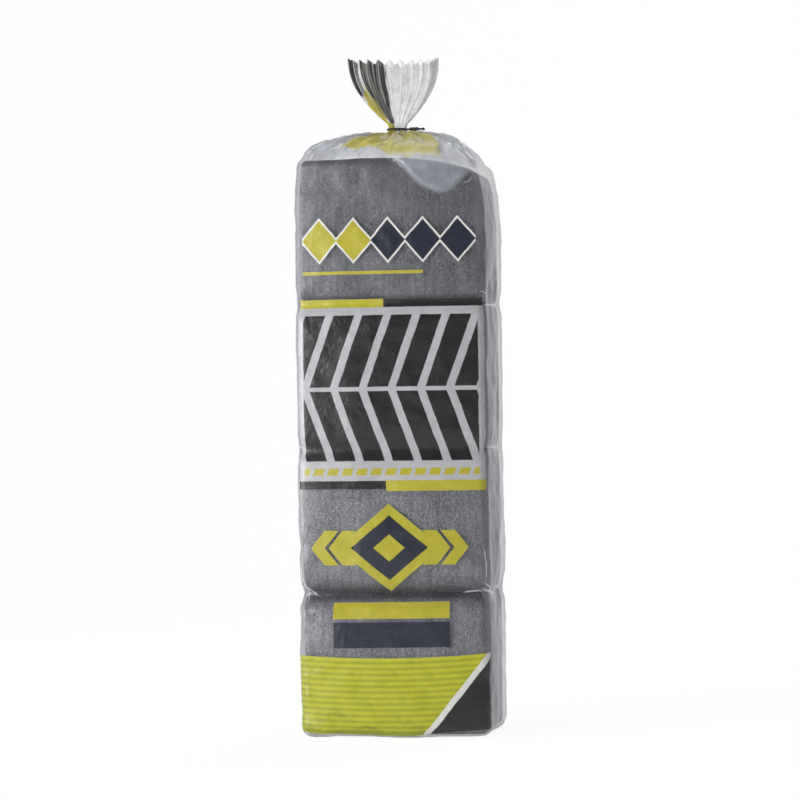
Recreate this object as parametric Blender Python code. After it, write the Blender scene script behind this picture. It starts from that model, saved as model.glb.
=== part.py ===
"""A pack of steel wool pads in a gathered clear film bag.

Sixteen wound pads stand on edge, four deep and four high, in a tube of film.
The film is gathered above the stack, tied with a wire tie and left to fan out.
Metres, +Z up, the printed front faces -Y, the origin is the middle of the base.
"""

import math

import bmesh
import bpy
from mathutils import Vector

# The stack of pads
TIERS = 4
PADS_PER_TIER = 4
PAD_WIDTH = 0.0985
PAD_THICKNESS = 0.0186
PAD_HEIGHT = 0.0770
SETTLE_PER_TIER = 0.0012
PAD_END_BEVEL = 0.0050
PAD_END_HEIGHT_SHARE = 0.90
PAD_END_THICKNESS_SHARE = 0.76

# The wool ribbon that a pad is wound from
WOOL_LAYERS = 5
LAYER_GAP = 0.0003
ARC_STEP_LENGTH = 0.0042
RIBBON_END_DROP = 0.0060

# Room between pieces that touch
SEAT_GAP = 0.0003
STACK_SLACK = 0.0004

# The film bag round the stack
FILM = 0.0005
BAG_CORNER_RADIUS = 0.0040
BAG_EDGE_RADIUS = 0.0060
PINCH_REACH = 0.0050
PINCH_FRONT = 0.0025
PINCH_SIDE = 0.0012
FRONT_SEGMENTS = 17
SIDE_SEGMENTS = 13
CORNER_SEGMENTS = 3
EDGE_STEPS = 3

# The gathered top
DOME_HEIGHT = 0.0115
DOME_STEPS = ((0.25, 0.62, 55), (0.55, 0.95, 76), (0.82, 1.02, 88))
DOME_PLEAT = 0.0012
NECK_RADIUS = 0.0044
NECK_HEIGHT = 0.0068
NECK_FLARE = 0.0010
NECK_PLEAT = 0.0003
NECK_SHELL = 0.0016
POINTS_PER_PLEAT = 3

# The fan of film above the tie
TAIL_LENGTH = 0.0340
TAIL_HALF_WIDTH = 0.0220
TAIL_HALF_DEPTH = 0.0090
TAIL_LEAN = -0.0020
TAIL_STEPS = (0.16, 0.40, 0.70, 1.00)
TAIL_PLEAT = 0.0020
TAIL_SHELL = 0.0009
TAIL_TWIST = math.radians(-50)
MOUTH_ZIGZAG = 0.0016

# The wire tie
WIRE_RADIUS = 0.0005
TIE_TWIST_LENGTH = 0.0080
TIE_TWIST_TURNS = 2
TIE_END_LENGTH = 0.0030
TIE_POINTS_PER_TURN = 14
TIE_TWIST_POINTS_PER_TURN = 8

# Colours
WOOL_GREY = (0.22, 0.22, 0.23, 1.0)
FILM_CLEAR = (0.80, 0.82, 0.84, 1.0)
TIE_DARK = (0.03, 0.04, 0.03, 1.0)


def clear_scene():
    for item in list(bpy.data.objects):
        bpy.data.objects.remove(item, do_unlink=True)


def make_material(name, colour, roughness, metallic, alpha=1.0):
    material = bpy.data.materials.new(name)
    material.use_nodes = True
    shader = material.node_tree.nodes["Principled BSDF"]
    shader.inputs["Base Color"].default_value = colour
    shader.inputs["Roughness"].default_value = roughness
    shader.inputs["Metallic"].default_value = metallic
    shader.inputs["Alpha"].default_value = alpha
    return material


def add_object(name, mesh, material):
    item = bpy.data.objects.new(name, mesh)
    mesh.materials.append(material)
    bpy.context.scene.collection.objects.link(item)
    return item


def mesh_from_rings(name, rings):
    """A closed mesh through rings of equal length, with a flat face at each end."""
    shape = bmesh.new()
    rows = [[shape.verts.new(point) for point in ring] for ring in rings]
    count = len(rings[0])
    for lower, upper in zip(rows, rows[1:]):
        for k in range(count):
            after = (k + 1) % count
            shape.faces.new((lower[k], lower[after], upper[after], upper[k]))
    shape.faces.new(list(reversed(rows[0])))
    shape.faces.new(rows[-1])
    bmesh.ops.recalc_face_normals(shape, faces=shape.faces)
    mesh = bpy.data.meshes.new(name)
    shape.to_mesh(mesh)
    shape.free()
    return mesh


def tier_height(tier):
    """Height of the pads of a tier: each tier above presses it down a little."""
    return PAD_HEIGHT - SETTLE_PER_TIER * (TIERS - 1 - tier)


def tier_base(tier):
    """Height of the underside of a tier's pads."""
    base = FILM + SEAT_GAP
    for below in range(tier):
        base += tier_height(below) + SEAT_GAP
    return base


def stack_top():
    return tier_base(TIERS - 1) + tier_height(TIERS - 1)


def stack_half_depth():
    return (PADS_PER_TIER * PAD_THICKNESS + (PADS_PER_TIER - 1) * SEAT_GAP) / 2


# Pads


def winding_arcs(height):
    """The half turns of the ribbon's middle line, from the core outwards.

    Each is (y of centre, z of centre, radius, start angle). Odd ones go over the
    top and even ones go under the foot, so the layers lie one pitch apart.
    """
    pitch = PAD_THICKNESS / WOOL_LAYERS
    half_layer = (pitch - LAYER_GAP) / 2
    last = WOOL_LAYERS - 1
    widest_top = (last if last % 2 else last - 1) * pitch / 2
    widest_foot = (last - 1 if last % 2 else last) * pitch / 2
    arcs = []
    for turn in range(1, WOOL_LAYERS):
        radius = turn * pitch / 2
        if turn % 2:
            arcs.append((-pitch / 2, height / 2 - widest_top - half_layer, radius, 0.0))
        else:
            arcs.append((0.0, widest_foot + half_layer - height / 2, radius, math.pi))
    return arcs


def ribbon_side(height, offset):
    """One side of the wound ribbon's section, offset from its middle line."""
    arcs = winding_arcs(height)
    core_foot = arcs[1][1] if len(arcs) > 1 else -arcs[0][1]
    side = [(offset, core_foot)]
    for y, z, radius, start in arcs:
        reach = radius + abs(offset)
        steps = max(2, round(math.pi * reach / ARC_STEP_LENGTH))
        for step in range(steps + 1):
            angle = start + math.pi * step / steps
            side.append((
                y + (radius + offset) * math.cos(angle),
                z + (radius + offset) * math.sin(angle),
            ))
    y, z, radius, start = arcs[-1]
    over_the_top = start == 0.0
    end_y = y - (radius + offset) if over_the_top else y + radius + offset
    end_z = height / 2 - PAD_THICKNESS / 2 - RIBBON_END_DROP
    side.append((end_y, -end_z if over_the_top else end_z))
    return side


def pad_section(height):
    """The closed outline, in (y, z), of the wound ribbon seen from its end."""
    half_layer = (PAD_THICKNESS / WOOL_LAYERS - LAYER_GAP) / 2
    outer = ribbon_side(height, half_layer)
    inner = ribbon_side(height, -half_layer)
    return outer + inner[::-1]


def make_pad_mesh(name, height):
    section = pad_section(height)
    stations = (
        (-PAD_WIDTH / 2, PAD_END_THICKNESS_SHARE, PAD_END_HEIGHT_SHARE),
        (-PAD_WIDTH / 2 + PAD_END_BEVEL, 1.0, 1.0),
        (PAD_WIDTH / 2 - PAD_END_BEVEL, 1.0, 1.0),
        (PAD_WIDTH / 2, PAD_END_THICKNESS_SHARE, PAD_END_HEIGHT_SHARE),
    )
    rings = [
        [(x, y * thickness, z * tall) for y, z in section]
        for x, thickness, tall in stations
    ]
    mesh = mesh_from_rings(name, rings)
    mesh.shade_smooth()
    mesh.set_sharp_from_angle(angle=math.radians(40))
    return mesh


def make_pads(material):
    for tier in range(TIERS):
        height = tier_height(tier)
        mesh = make_pad_mesh(f"wound_pad_tier_{tier + 1}", height)
        mesh.materials.append(material)
        for row in range(PADS_PER_TIER):
            pad = bpy.data.objects.new(f"pad_tier{tier + 1}_row{row + 1}", mesh)
            y = (row - (PADS_PER_TIER - 1) / 2) * (PAD_THICKNESS + SEAT_GAP)
            pad.location = (0.0, y, tier_base(tier) + height / 2)
            bpy.context.scene.collection.objects.link(pad)


# Film bag


def bag_half_sizes():
    """Half width and half depth of the film's outer face."""
    room = STACK_SLACK + FILM
    return PAD_WIDTH / 2 + room, stack_half_depth() + room


def plan_points(half_width, half_depth, radius):
    """A rounded rectangle in plan: [(point, outward normal, share of the girth)].

    It starts at the middle of the back and runs anticlockwise, always with the
    same number of points on each side and corner.
    """
    corners = (
        (half_width, half_depth, 0.0),
        (-half_width, half_depth, math.pi / 2),
        (-half_width, -half_depth, math.pi),
        (half_width, -half_depth, 3 * math.pi / 2),
    )
    side_counts = (FRONT_SEGMENTS, SIDE_SEGMENTS, FRONT_SEGMENTS, SIDE_SEGMENTS)
    side_lengths = (
        2 * (half_width - radius),
        2 * (half_depth - radius),
        2 * (half_width - radius),
        2 * (half_depth - radius),
    )
    arc_length = math.pi * radius / 2
    girth = sum(side_lengths) + 4 * arc_length
    points = []
    travelled = 0.0
    for (x, y, start), count, length in zip(corners, side_counts, side_lengths):
        centre = Vector((x - math.copysign(radius, x), y - math.copysign(radius, y)))
        for step in range(CORNER_SEGMENTS):
            share = step / CORNER_SEGMENTS
            angle = start + share * math.pi / 2
            normal = Vector((math.cos(angle), math.sin(angle)))
            points.append((centre + radius * normal, normal,
                           (travelled + share * arc_length) / girth))
        travelled += arc_length
        angle = start + math.pi / 2
        normal = Vector((math.cos(angle), math.sin(angle)))
        along = Vector((-normal.y, normal.x))
        first = centre + radius * normal
        for step in range(count):
            share = step / count
            points.append((first + share * length * along, normal,
                           (travelled + share * length) / girth))
        travelled += length
    return points


def ring_from_plan(inset_x, inset_y, height, tilt, shell):
    """Outer and inner film points of a level ring round the stack.

    tilt is the angle of the film's outward normal above the horizon.
    """
    half_width, half_depth = bag_half_sizes()
    plan = plan_points(half_width - inset_x, half_depth - inset_y, BAG_CORNER_RADIUS)
    outer = []
    inner = []
    for point, normal, _ in plan:
        outward = Vector((normal.x * math.cos(tilt), normal.y * math.cos(tilt),
                          math.sin(tilt)))
        place = Vector((point.x, point.y, height))
        outer.append(place)
        inner.append(place - shell * outward)
    return outer, inner


def pleat_wave(index):
    """A knife pleat: a slow rise and a sudden fall, from 1 to -1."""
    return 1.0 - 2.0 * (index % POINTS_PER_PLEAT) / (POINTS_PER_PLEAT - 1)


def girth_angles():
    """Angle round the neck of each point of the girth, so that film gathers evenly."""
    plan = plan_points(*bag_half_sizes(), BAG_CORNER_RADIUS)
    first_angle = math.atan2(plan[0][0].y, plan[0][0].x)
    return [first_angle + 2 * math.pi * share for _, _, share in plan]


def ring_of_gather(half_width, half_depth, lean, height, twist, pleat, shell, tilt):
    """Outer and inner points of a pleated ring of the neck or of the fan."""
    outer = []
    inner = []
    for index, angle in enumerate(girth_angles()):
        turned = angle + twist
        place = Vector((lean + half_width * math.cos(turned),
                        half_depth * math.sin(turned), height))
        normal = Vector((half_depth * math.cos(turned), half_width * math.sin(turned)))
        normal.normalize()
        outward = Vector((normal.x * math.cos(tilt), normal.y * math.cos(tilt),
                          math.sin(tilt)))
        wave = pleat * pleat_wave(index)
        outer.append(place + wave * outward)
        inner.append(place + (wave - shell) * outward)
    return outer, inner


def foot_rings():
    """Rings from the flat base round the lower edge."""
    rings = []
    for step in range(EDGE_STEPS + 1):
        angle = math.pi / 2 * (1 - step / EDGE_STEPS)
        inset = BAG_EDGE_RADIUS * (1 - math.cos(angle))
        height = BAG_EDGE_RADIUS * (1 - math.sin(angle))
        rings.append(ring_from_plan(inset, inset, height, -angle, FILM))
    return rings


def pinch_rings():
    """Rings that draw the film in where one tier of pads meets the next."""
    rings = []
    for tier in range(1, TIERS):
        seam = tier_base(tier) - SEAT_GAP / 2
        rings.append(ring_from_plan(0.0, 0.0, seam - PINCH_REACH, 0.0, FILM))
        rings.append(ring_from_plan(PINCH_SIDE, PINCH_FRONT, seam, 0.0, FILM))
        rings.append(ring_from_plan(0.0, 0.0, seam + PINCH_REACH, 0.0, FILM))
    return rings


def film_top():
    """Height of the film where it lies on the top tier."""
    return stack_top() + STACK_SLACK + FILM


def shoulder_rings():
    """Rings round the upper edge, as far as the film starts to gather."""
    rings = []
    for step in range(EDGE_STEPS):
        angle = math.pi / 2 * step / EDGE_STEPS
        inset = BAG_EDGE_RADIUS * (1 - math.cos(angle))
        height = film_top() - BAG_EDGE_RADIUS * (1 - math.sin(angle))
        rings.append(ring_from_plan(inset, inset, height, angle, FILM))
    return rings


def dome_rings():
    """Rings that run from the shoulder to the neck, with pleats that deepen."""
    half_width, half_depth = bag_half_sizes()
    edge = BAG_EDGE_RADIUS / 2
    plan = plan_points(half_width - edge, half_depth - edge, BAG_CORNER_RADIUS)
    angles = girth_angles()
    rings = []
    for inwards, rise, tilt_degrees in DOME_STEPS:
        tilt = math.radians(tilt_degrees)
        twist = TAIL_TWIST * inwards ** 2 / 2
        outer = []
        inner = []
        for index, ((point, normal, _), angle) in enumerate(zip(plan, angles)):
            turned = angle + twist
            spoke = Vector((math.cos(turned), math.sin(turned)))
            flat = point.lerp(NECK_RADIUS * spoke, inwards)
            lean = normal.lerp(spoke, inwards).normalized()
            outward = Vector((lean.x * math.cos(tilt), lean.y * math.cos(tilt),
                              math.sin(tilt)))
            wave = DOME_PLEAT * inwards * pleat_wave(index)
            place = Vector((flat.x, flat.y, film_top() + DOME_HEIGHT * rise))
            outer.append(place + wave * outward)
            inner.append(place + (wave - FILM) * outward)
        rings.append((outer, inner))
    return rings


def tie_height():
    """Height of the waist where the tie sits."""
    return film_top() + DOME_HEIGHT + NECK_HEIGHT / 2


def neck_rings():
    """The waist that the tie holds, a little wider above and below it."""
    wide = NECK_RADIUS + NECK_FLARE
    stations = (
        (wide, -NECK_HEIGHT / 2, 0.6, math.radians(35)),
        (NECK_RADIUS, 0.0, 0.8, 0.0),
        (wide, NECK_HEIGHT / 2, 1.0, math.radians(-35)),
    )
    return [
        ring_of_gather(radius, radius, 0.0, tie_height() + rise, TAIL_TWIST * twist,
                       NECK_PLEAT, NECK_SHELL, tilt)
        for radius, rise, twist, tilt in stations
    ]


def tail_rings():
    """The fan of pleated film, which ends in a zigzag mouth."""
    foot = tie_height() + NECK_HEIGHT / 2
    start = NECK_RADIUS + NECK_FLARE
    rings = []
    for share in TAIL_STEPS:
        spread = math.sin(share * math.pi / 2)
        outer, inner = ring_of_gather(
            start + (TAIL_HALF_WIDTH - start) * spread,
            start + (TAIL_HALF_DEPTH - start) * spread,
            TAIL_LEAN * share,
            foot + TAIL_LENGTH * share,
            TAIL_TWIST,
            NECK_PLEAT + (TAIL_PLEAT - NECK_PLEAT) * spread,
            TAIL_SHELL,
            0.0,
        )
        if share == TAIL_STEPS[-1]:
            for index, (outside, inside) in enumerate(zip(outer, inner)):
                outside.z += MOUTH_ZIGZAG * pleat_wave(index)
                inside.z += MOUTH_ZIGZAG * pleat_wave(index)
        rings.append((outer, inner))
    return rings


def make_bag(material):
    rings = (foot_rings() + pinch_rings() + shoulder_rings() + dome_rings()
             + neck_rings() + tail_rings())
    outer = [ring[0] for ring in rings]
    inner = [ring[1] for ring in rings]
    mesh = mesh_from_rings("film_bag", outer + inner[::-1])
    mesh.shade_smooth()
    mesh.set_sharp_from_angle(angle=math.radians(50))
    return add_object("film_bag", mesh, material)


# Tie


def tie_path():
    """The wire's middle line: one end, the twist, a loop round the neck and back."""
    helix = WIRE_RADIUS + SEAT_GAP / 2
    loop = NECK_RADIUS + NECK_PLEAT + SEAT_GAP + WIRE_RADIUS
    height = tie_height()
    out = loop + helix
    steps = TIE_TWIST_TURNS * TIE_TWIST_POINTS_PER_TURN
    strand = []
    for step in range(steps + 1):
        share = step / steps
        angle = 2 * math.pi * TIE_TWIST_TURNS * share + math.pi / 2
        strand.append(Vector((
            out + WIRE_RADIUS + TIE_TWIST_LENGTH * share,
            helix * math.sin(angle),
            helix * math.cos(angle),
        )))
    tip = strand[-1] + Vector((TIE_END_LENGTH, TIE_END_LENGTH / 2, 0.0))
    strand.append(tip)
    opposite = [Vector((p.x, -p.y, -p.z)) for p in strand]
    gap_angle = math.asin(helix / loop) + 2 * math.pi / TIE_POINTS_PER_TURN
    turn = 2 * math.pi - 2 * gap_angle
    ring = []
    for step in range(TIE_POINTS_PER_TURN):
        angle = gap_angle + turn * step / (TIE_POINTS_PER_TURN - 1)
        ring.append(Vector((loop * math.cos(angle), loop * math.sin(angle), 0.0)))
    path = strand[::-1] + ring + opposite
    return [point + Vector((0.0, 0.0, height)) for point in path]


def make_tie(material):
    curve = bpy.data.curves.new("neck_tie", "CURVE")
    curve.dimensions = "3D"
    curve.bevel_depth = WIRE_RADIUS
    curve.bevel_resolution = 1
    curve.use_fill_caps = True
    spline = curve.splines.new("POLY")
    path = tie_path()
    spline.points.add(len(path) - 1)
    for slot, point in zip(spline.points, path):
        slot.co = (*point, 1.0)
    curve.materials.append(material)
    tie = bpy.data.objects.new("neck_tie", curve)
    bpy.context.scene.collection.objects.link(tie)
    return tie


def main():
    clear_scene()
    wool = make_material("steel_wool", WOOL_GREY, 0.55, 0.8)
    film = make_material("clear_film", FILM_CLEAR, 0.18, 0.0, alpha=0.3)
    wire = make_material("tie_wire", TIE_DARK, 0.35, 0.0)
    make_pads(wool)
    make_bag(film)
    make_tie(wire)


main()
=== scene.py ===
"""The looks of a pack of steel wool pads in a gathered film bag.

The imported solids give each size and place. Every pad gets a fibrous wound body
with loose strands, the bag becomes one thin sheet of printed film with its
folds and gathers, and the tie becomes a coated wire.
"""

import logging
import math
from collections.abc import Callable
from dataclasses import dataclass
from enum import Enum

import bpy
import numpy as np
from mathutils import Matrix, Vector, noise


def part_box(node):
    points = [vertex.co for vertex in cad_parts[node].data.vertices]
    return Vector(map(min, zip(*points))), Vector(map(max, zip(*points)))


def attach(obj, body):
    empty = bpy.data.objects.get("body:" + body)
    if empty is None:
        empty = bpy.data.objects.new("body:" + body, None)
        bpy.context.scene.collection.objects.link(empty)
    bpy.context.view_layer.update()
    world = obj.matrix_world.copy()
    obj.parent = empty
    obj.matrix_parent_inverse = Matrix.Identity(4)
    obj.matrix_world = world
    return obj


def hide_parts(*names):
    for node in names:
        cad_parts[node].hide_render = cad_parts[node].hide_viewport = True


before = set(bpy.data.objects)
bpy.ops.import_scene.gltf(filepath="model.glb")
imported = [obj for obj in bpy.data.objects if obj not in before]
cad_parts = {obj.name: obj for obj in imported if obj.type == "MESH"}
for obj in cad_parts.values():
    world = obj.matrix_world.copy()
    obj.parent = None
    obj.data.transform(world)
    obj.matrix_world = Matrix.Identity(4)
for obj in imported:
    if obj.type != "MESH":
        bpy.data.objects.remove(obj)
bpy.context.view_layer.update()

LOG = logging.getLogger("pack")
MM = 0.001
BODY = "root"
TIERS = range(1, 5)
ROWS = range(1, 5)
FRONT_ROW = ROWS[0]
BACK_ROW = ROWS[-1]

NOISE_STEP = Vector((17.3, 5.1, 9.7))
PRESSED_SHARE = 0.15
FILM_AIR = 0.9 * MM

Colour = tuple[float, float, float, float]
Ring = tuple[np.ndarray, np.ndarray]
AddRing = Callable[[Ring, float, float, float], None]
WHITE: Colour = (1.0, 1.0, 1.0, 1.0)


class Ink(Enum):
    """The print's colours, as linear light."""

    YELLOW = (0.50, 0.44, 0.030, 1.0)
    LIME = (0.54, 0.54, 0.022, 1.0)
    LIME_SHADE = (0.27, 0.30, 0.008, 1.0)
    PAPER_WHITE = (0.486, 0.490, 0.513, 1.0)
    BRIGHT_WHITE = (0.80, 0.79, 0.76, 1.0)
    CHARCOAL = (0.008, 0.008, 0.010, 1.0)
    NAVY = (0.013, 0.016, 0.036, 1.0)


class Wire:
    """A node's output that takes part in arithmetic, as a number does."""

    def __init__(self, board: "Board", socket: bpy.types.NodeSocket) -> None:
        """Hold the output socket of a node on a board."""
        self.board = board
        self.socket = socket

    def __add__(self, other: "Wire | float") -> "Wire":
        """The sum with another value."""
        return self.board.maths("ADD", self, other)

    __radd__ = __add__

    def __sub__(self, other: "Wire | float") -> "Wire":
        """This value less another."""
        return self.board.maths("SUBTRACT", self, other)

    def __rsub__(self, other: float) -> "Wire":
        """A number less this value."""
        return self.board.maths("SUBTRACT", other, self)

    def __mul__(self, other: "Wire | float") -> "Wire":
        """The product with another value."""
        return self.board.maths("MULTIPLY", self, other)

    __rmul__ = __mul__

    def __truediv__(self, other: "Wire | float") -> "Wire":
        """This value over another."""
        return self.board.maths("DIVIDE", self, other)

    def __abs__(self) -> "Wire":
        """The value without its sign."""
        return self.board.maths("ABSOLUTE", self)

    def least(self, other: "Wire | float") -> "Wire":
        """The smaller of two values."""
        return self.board.maths("MINIMUM", self, other)

    def most(self, other: "Wire | float") -> "Wire":
        """The larger of two values."""
        return self.board.maths("MAXIMUM", self, other)

    def wrapped(self, pitch: float) -> "Wire":
        """The place within a repeat, from minus to plus half a pitch."""
        return self.board.maths("WRAP", self, pitch / 2, -pitch / 2)

    def ramp(self, start: float, end: float, low: float = 0.0, high: float = 1.0) -> "Wire":
        """A smooth change from one value to another.

        Args:
            start: where the change begins, which may lie above its end.
            end: where the change ends.
            low: the value at its start and before.
            high: the value at its end and beyond.

        Returns:
            The changed value.
        """
        node = self.board.node(
            "ShaderNodeMapRange",
            {"interpolation_type": "SMOOTHSTEP"},
            {"Value": self, "From Min": start, "From Max": end, "To Min": low, "To Max": high},
        )
        return Wire(self.board, node.outputs["Result"])


class Board:
    """A node tree with short ways to add nodes and arithmetic to it."""

    def __init__(self, tree: bpy.types.NodeTree) -> None:
        """Take over a tree and empty it."""
        self.tree = tree
        tree.nodes.clear()

    def node(self, kind: str, settings: dict | None = None,
             values: dict | None = None) -> bpy.types.Node:
        """Add a node.

        Args:
            kind: the node's type.
            settings: its own properties, which are set first.
            values: what each input gets, a Wire, a socket or a plain value.

        Returns:
            The new node.
        """
        made = self.tree.nodes.new(kind)
        for key, value in (settings or {}).items():
            setattr(made, key, value)
        for key, value in (values or {}).items():
            if isinstance(value, Wire):
                self.tree.links.new(value.socket, made.inputs[key])
            elif isinstance(value, bpy.types.NodeSocket):
                self.tree.links.new(value, made.inputs[key])
            else:
                made.inputs[key].default_value = value
        return made

    def wire(self, kind: str, settings: dict | None = None, values: dict | None = None,
             output: str | int = 0) -> Wire:
        """Add a node and take one of its outputs."""
        return Wire(self, self.node(kind, settings, values).outputs[output])

    def maths(self, operation: str, *values: "Wire | float") -> Wire:
        """Add a Math node over one to three values."""
        return self.wire("ShaderNodeMath", {"operation": operation}, dict(enumerate(values)))

    def joined(self, x: "Wire | float", y: "Wire | float", z: "Wire | float" = 0.0) -> Wire:
        """A vector from three numbers."""
        return self.wire("ShaderNodeCombineXYZ", None, {"X": x, "Y": y, "Z": z})

    def split(self, vector: Wire) -> tuple[Wire, Wire, Wire]:
        """The three numbers of a vector."""
        node = self.node("ShaderNodeSeparateXYZ", None, {"Vector": vector})
        return tuple(Wire(self, node.outputs[axis]) for axis in "XYZ")

    def blend(self, share: "Wire | float", first: "Wire | Colour",
              second: "Wire | Colour") -> Wire:
        """A colour that goes from first to second as share goes from 0 to 1."""
        node = self.node("ShaderNodeMix", {"data_type": "RGBA"}, {0: share, 6: first, 7: second})
        return Wire(self, node.outputs[2])

    def grain(self, vector: Wire, scale: float, detail: float = 2.0,
              roughness: float = 0.5) -> Wire:
        """Noise from 0 to 1 over a vector."""
        return self.wire("ShaderNodeTexNoise", None, {
            "Vector": vector, "Scale": scale, "Detail": detail, "Roughness": roughness,
        })

    def stored(self, name: str) -> Wire:
        """A number that is stored at the mesh's points."""
        return self.wire("ShaderNodeAttribute", {"attribute_name": name}, None, "Fac")

    def relief(self, height: Wire, depth: float, strength: float) -> Wire:
        """A bumped normal from a height, whose unit is worth a depth."""
        return self.wire("ShaderNodeBump", None, {
            "Strength": strength, "Distance": depth, "Height": height,
        })

    def surface(self, shader: bpy.types.Node) -> None:
        """Make a shader the material's surface."""
        self.node("ShaderNodeOutputMaterial", None, {"Surface": shader.outputs[0]})


def new_board(name: str) -> tuple[bpy.types.Material, Board]:
    """Make a material.

    Args:
        name: the material's name.

    Returns:
        The material and the board of its tree.
    """
    material = bpy.data.materials.new(name)
    material.use_nodes = True
    return material, Board(material.node_tree)


def ripple(points: np.ndarray, wavelength: float, octaves: int = 1, seed: int = 0) -> np.ndarray:
    """Smooth noise of about -1 to 1 at each point.

    Args:
        points: rows of x, y and z.
        wavelength: the distance from one swell to the next.
        octaves: how many finer layers are added up.
        seed: picks another stretch of the same noise.

    Returns:
        One value for each point.
    """
    shift = NOISE_STEP * (seed + 1)
    scale = 1.0 / wavelength
    values = [noise.fractal(Vector(p) * scale + shift, 1.0, 2.0, octaves) for p in points.tolist()]
    return np.array(values)


def rounded_outline(distances: np.ndarray, half_width: float, half_depth: float,
                    radius: float) -> tuple[np.ndarray, np.ndarray]:
    """Points along a rounded rectangle, from the middle of its front towards +X.

    Args:
        distances: how far round each point lies, from 0 to the whole girth.
        half_width: half the size along X.
        half_depth: half the size along Y.
        radius: the corner radius.

    Returns:
        The points and the outward normals, as rows of x and y.
    """
    wide = half_width - radius
    deep = half_depth - radius
    corner = math.pi * radius / 2
    stretches = [wide, corner, 2 * deep, corner, 2 * wide, corner, 2 * deep, corner, wide]
    stops = np.concatenate(([0.0], np.cumsum(stretches)))
    across = [0] + 4 * [wide] + 4 * [-wide] + [0]
    back = 3 * [-deep] + 4 * [deep] + 3 * [-deep]
    facing = [-90, -90, 0, 0, 90, 90, 180, 180, 270, 270]
    centre_x = np.interp(distances, stops, across)
    centre_y = np.interp(distances, stops, back)
    turn = np.radians(np.interp(distances, stops, facing))
    normals = np.stack([np.cos(turn), np.sin(turn)], axis=-1)
    points = np.stack([centre_x, centre_y], axis=-1) + radius * normals
    return points, normals


def outline_length(half_width: float, half_depth: float, radius: float) -> float:
    """The girth of a rounded rectangle."""
    return 4 * (half_width + half_depth) - 8 * radius + 2 * math.pi * radius


@dataclass
class StackForm:
    """How the whole stack is pressed: its waists, its rounding and its top."""

    waists: tuple[float, ...] = (0.095, 0.030, 0.030)
    above: float = 9.0 * MM
    below: float = 5.0 * MM
    rounding: float = 0.085
    top_left: float = 0.035
    top_right: float = 0.100
    draw_start: float = 262 * MM
    draw_length: float = 41 * MM
    draw_end: float = 317 * MM
    fade_length: float = 10 * MM
    drop_reach: float = 48 * MM
    round_reach: float = 50 * MM
    side_share: float = 0.15

    def __post_init__(self) -> None:
        """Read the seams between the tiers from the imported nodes."""
        self.seams = [
            (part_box(f"pad_tier{t}_row1")[1].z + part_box(f"pad_tier{t + 1}_row1")[0].z) / 2
            for t in list(TIERS)[:-1]
        ]

    def pressed(self, points: np.ndarray, drop: float) -> np.ndarray:
        """Wool or film as it lies in the pressed stack.

        Args:
            points: places in the square stack, with x, y and z last.
            drop: how far the top right end sinks.

        Returns:
            The moved places.
        """
        x, y, z = points[..., 0], points[..., 1], points[..., 2]
        rise = np.clip((z - self.draw_start) / self.draw_length, 0, 1) ** 2
        rise = rise * np.clip((self.draw_end - z) / self.fade_length, 0, 1)
        right = np.clip(x / self.drop_reach, 0, 1.1)
        draw = np.where(x > 0, self.top_right, self.top_left) * rise
        waist = np.zeros_like(z)
        for seam, depth in zip(self.seams, self.waists):
            reach = np.where(z > seam, self.above, self.below)
            waist += depth * np.exp(-((z - seam) / reach) ** 2)
        round_off = self.rounding * np.abs(x / self.round_reach) ** 2.4
        return np.stack([
            x * (1 - draw - self.side_share * waist),
            y * (1 - waist - round_off),
            z - drop * rise * right ** 2,
        ], axis=-1)


def loft(name: str, rows: np.ndarray, sheet: np.ndarray, capped: bool = False) -> bpy.types.Mesh:
    """A mesh of quads through rows of points that close on themselves.

    Args:
        name: the mesh's name.
        rows: points, as rows by columns by x, y and z, with columns running so
            that columns times rows points outwards.
        sheet: a UV place for each point, with one more column that closes the row.
        capped: whether the first and the last row are closed by a face.

    Returns:
        The mesh, smooth, with the UV map "sheet".
    """
    count, columns = rows.shape[:2]
    index = np.arange(count * columns).reshape(count, columns)
    after = np.roll(index, -1, axis=1)
    quads = np.stack([index[:-1], after[:-1], after[1:], index[1:]], axis=-1).reshape(-1, 4)
    faces = quads.tolist()
    if capped:
        faces += [index[0][::-1].tolist(), index[-1].tolist()]
    mesh = bpy.data.meshes.new(name)
    mesh.from_pydata(rows.reshape(-1, 3).tolist(), [], faces)
    corners = np.stack([
        sheet[:-1, :-1], sheet[:-1, 1:], sheet[1:, 1:], sheet[1:, :-1],
    ], axis=2).reshape(-1, 2)
    if capped:
        ends = np.concatenate([sheet[0, :-1][::-1], sheet[-1, :-1]])
        corners = np.concatenate([corners, ends])
    layer = mesh.uv_layers.new(name="sheet")
    layer.data.foreach_set("uv", corners.astype(np.float32).ravel())
    mesh.shade_smooth()
    return mesh


def point_attribute(mesh: bpy.types.Mesh, name: str, values: np.ndarray) -> None:
    """Store one number for each point of a mesh."""
    attribute = mesh.attributes.new(name, "FLOAT", "POINT")
    attribute.data.foreach_set("value", values.astype(np.float32).ravel())


def add_piece(name: str, mesh: bpy.types.Mesh, material: bpy.types.Material, slot: str,
              *nodes: str) -> bpy.types.Object:
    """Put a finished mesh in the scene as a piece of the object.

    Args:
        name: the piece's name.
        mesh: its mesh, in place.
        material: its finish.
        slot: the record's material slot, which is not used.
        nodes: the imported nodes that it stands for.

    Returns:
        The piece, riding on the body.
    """
    mesh.materials.clear()
    mesh.materials.append(material)
    piece = bpy.data.objects.new(name, mesh)
    bpy.context.scene.collection.objects.link(piece)
    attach(piece, BODY)
    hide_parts(*nodes)
    LOG.info("%s: %d faces", name, len(mesh.polygons))
    return piece


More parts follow.
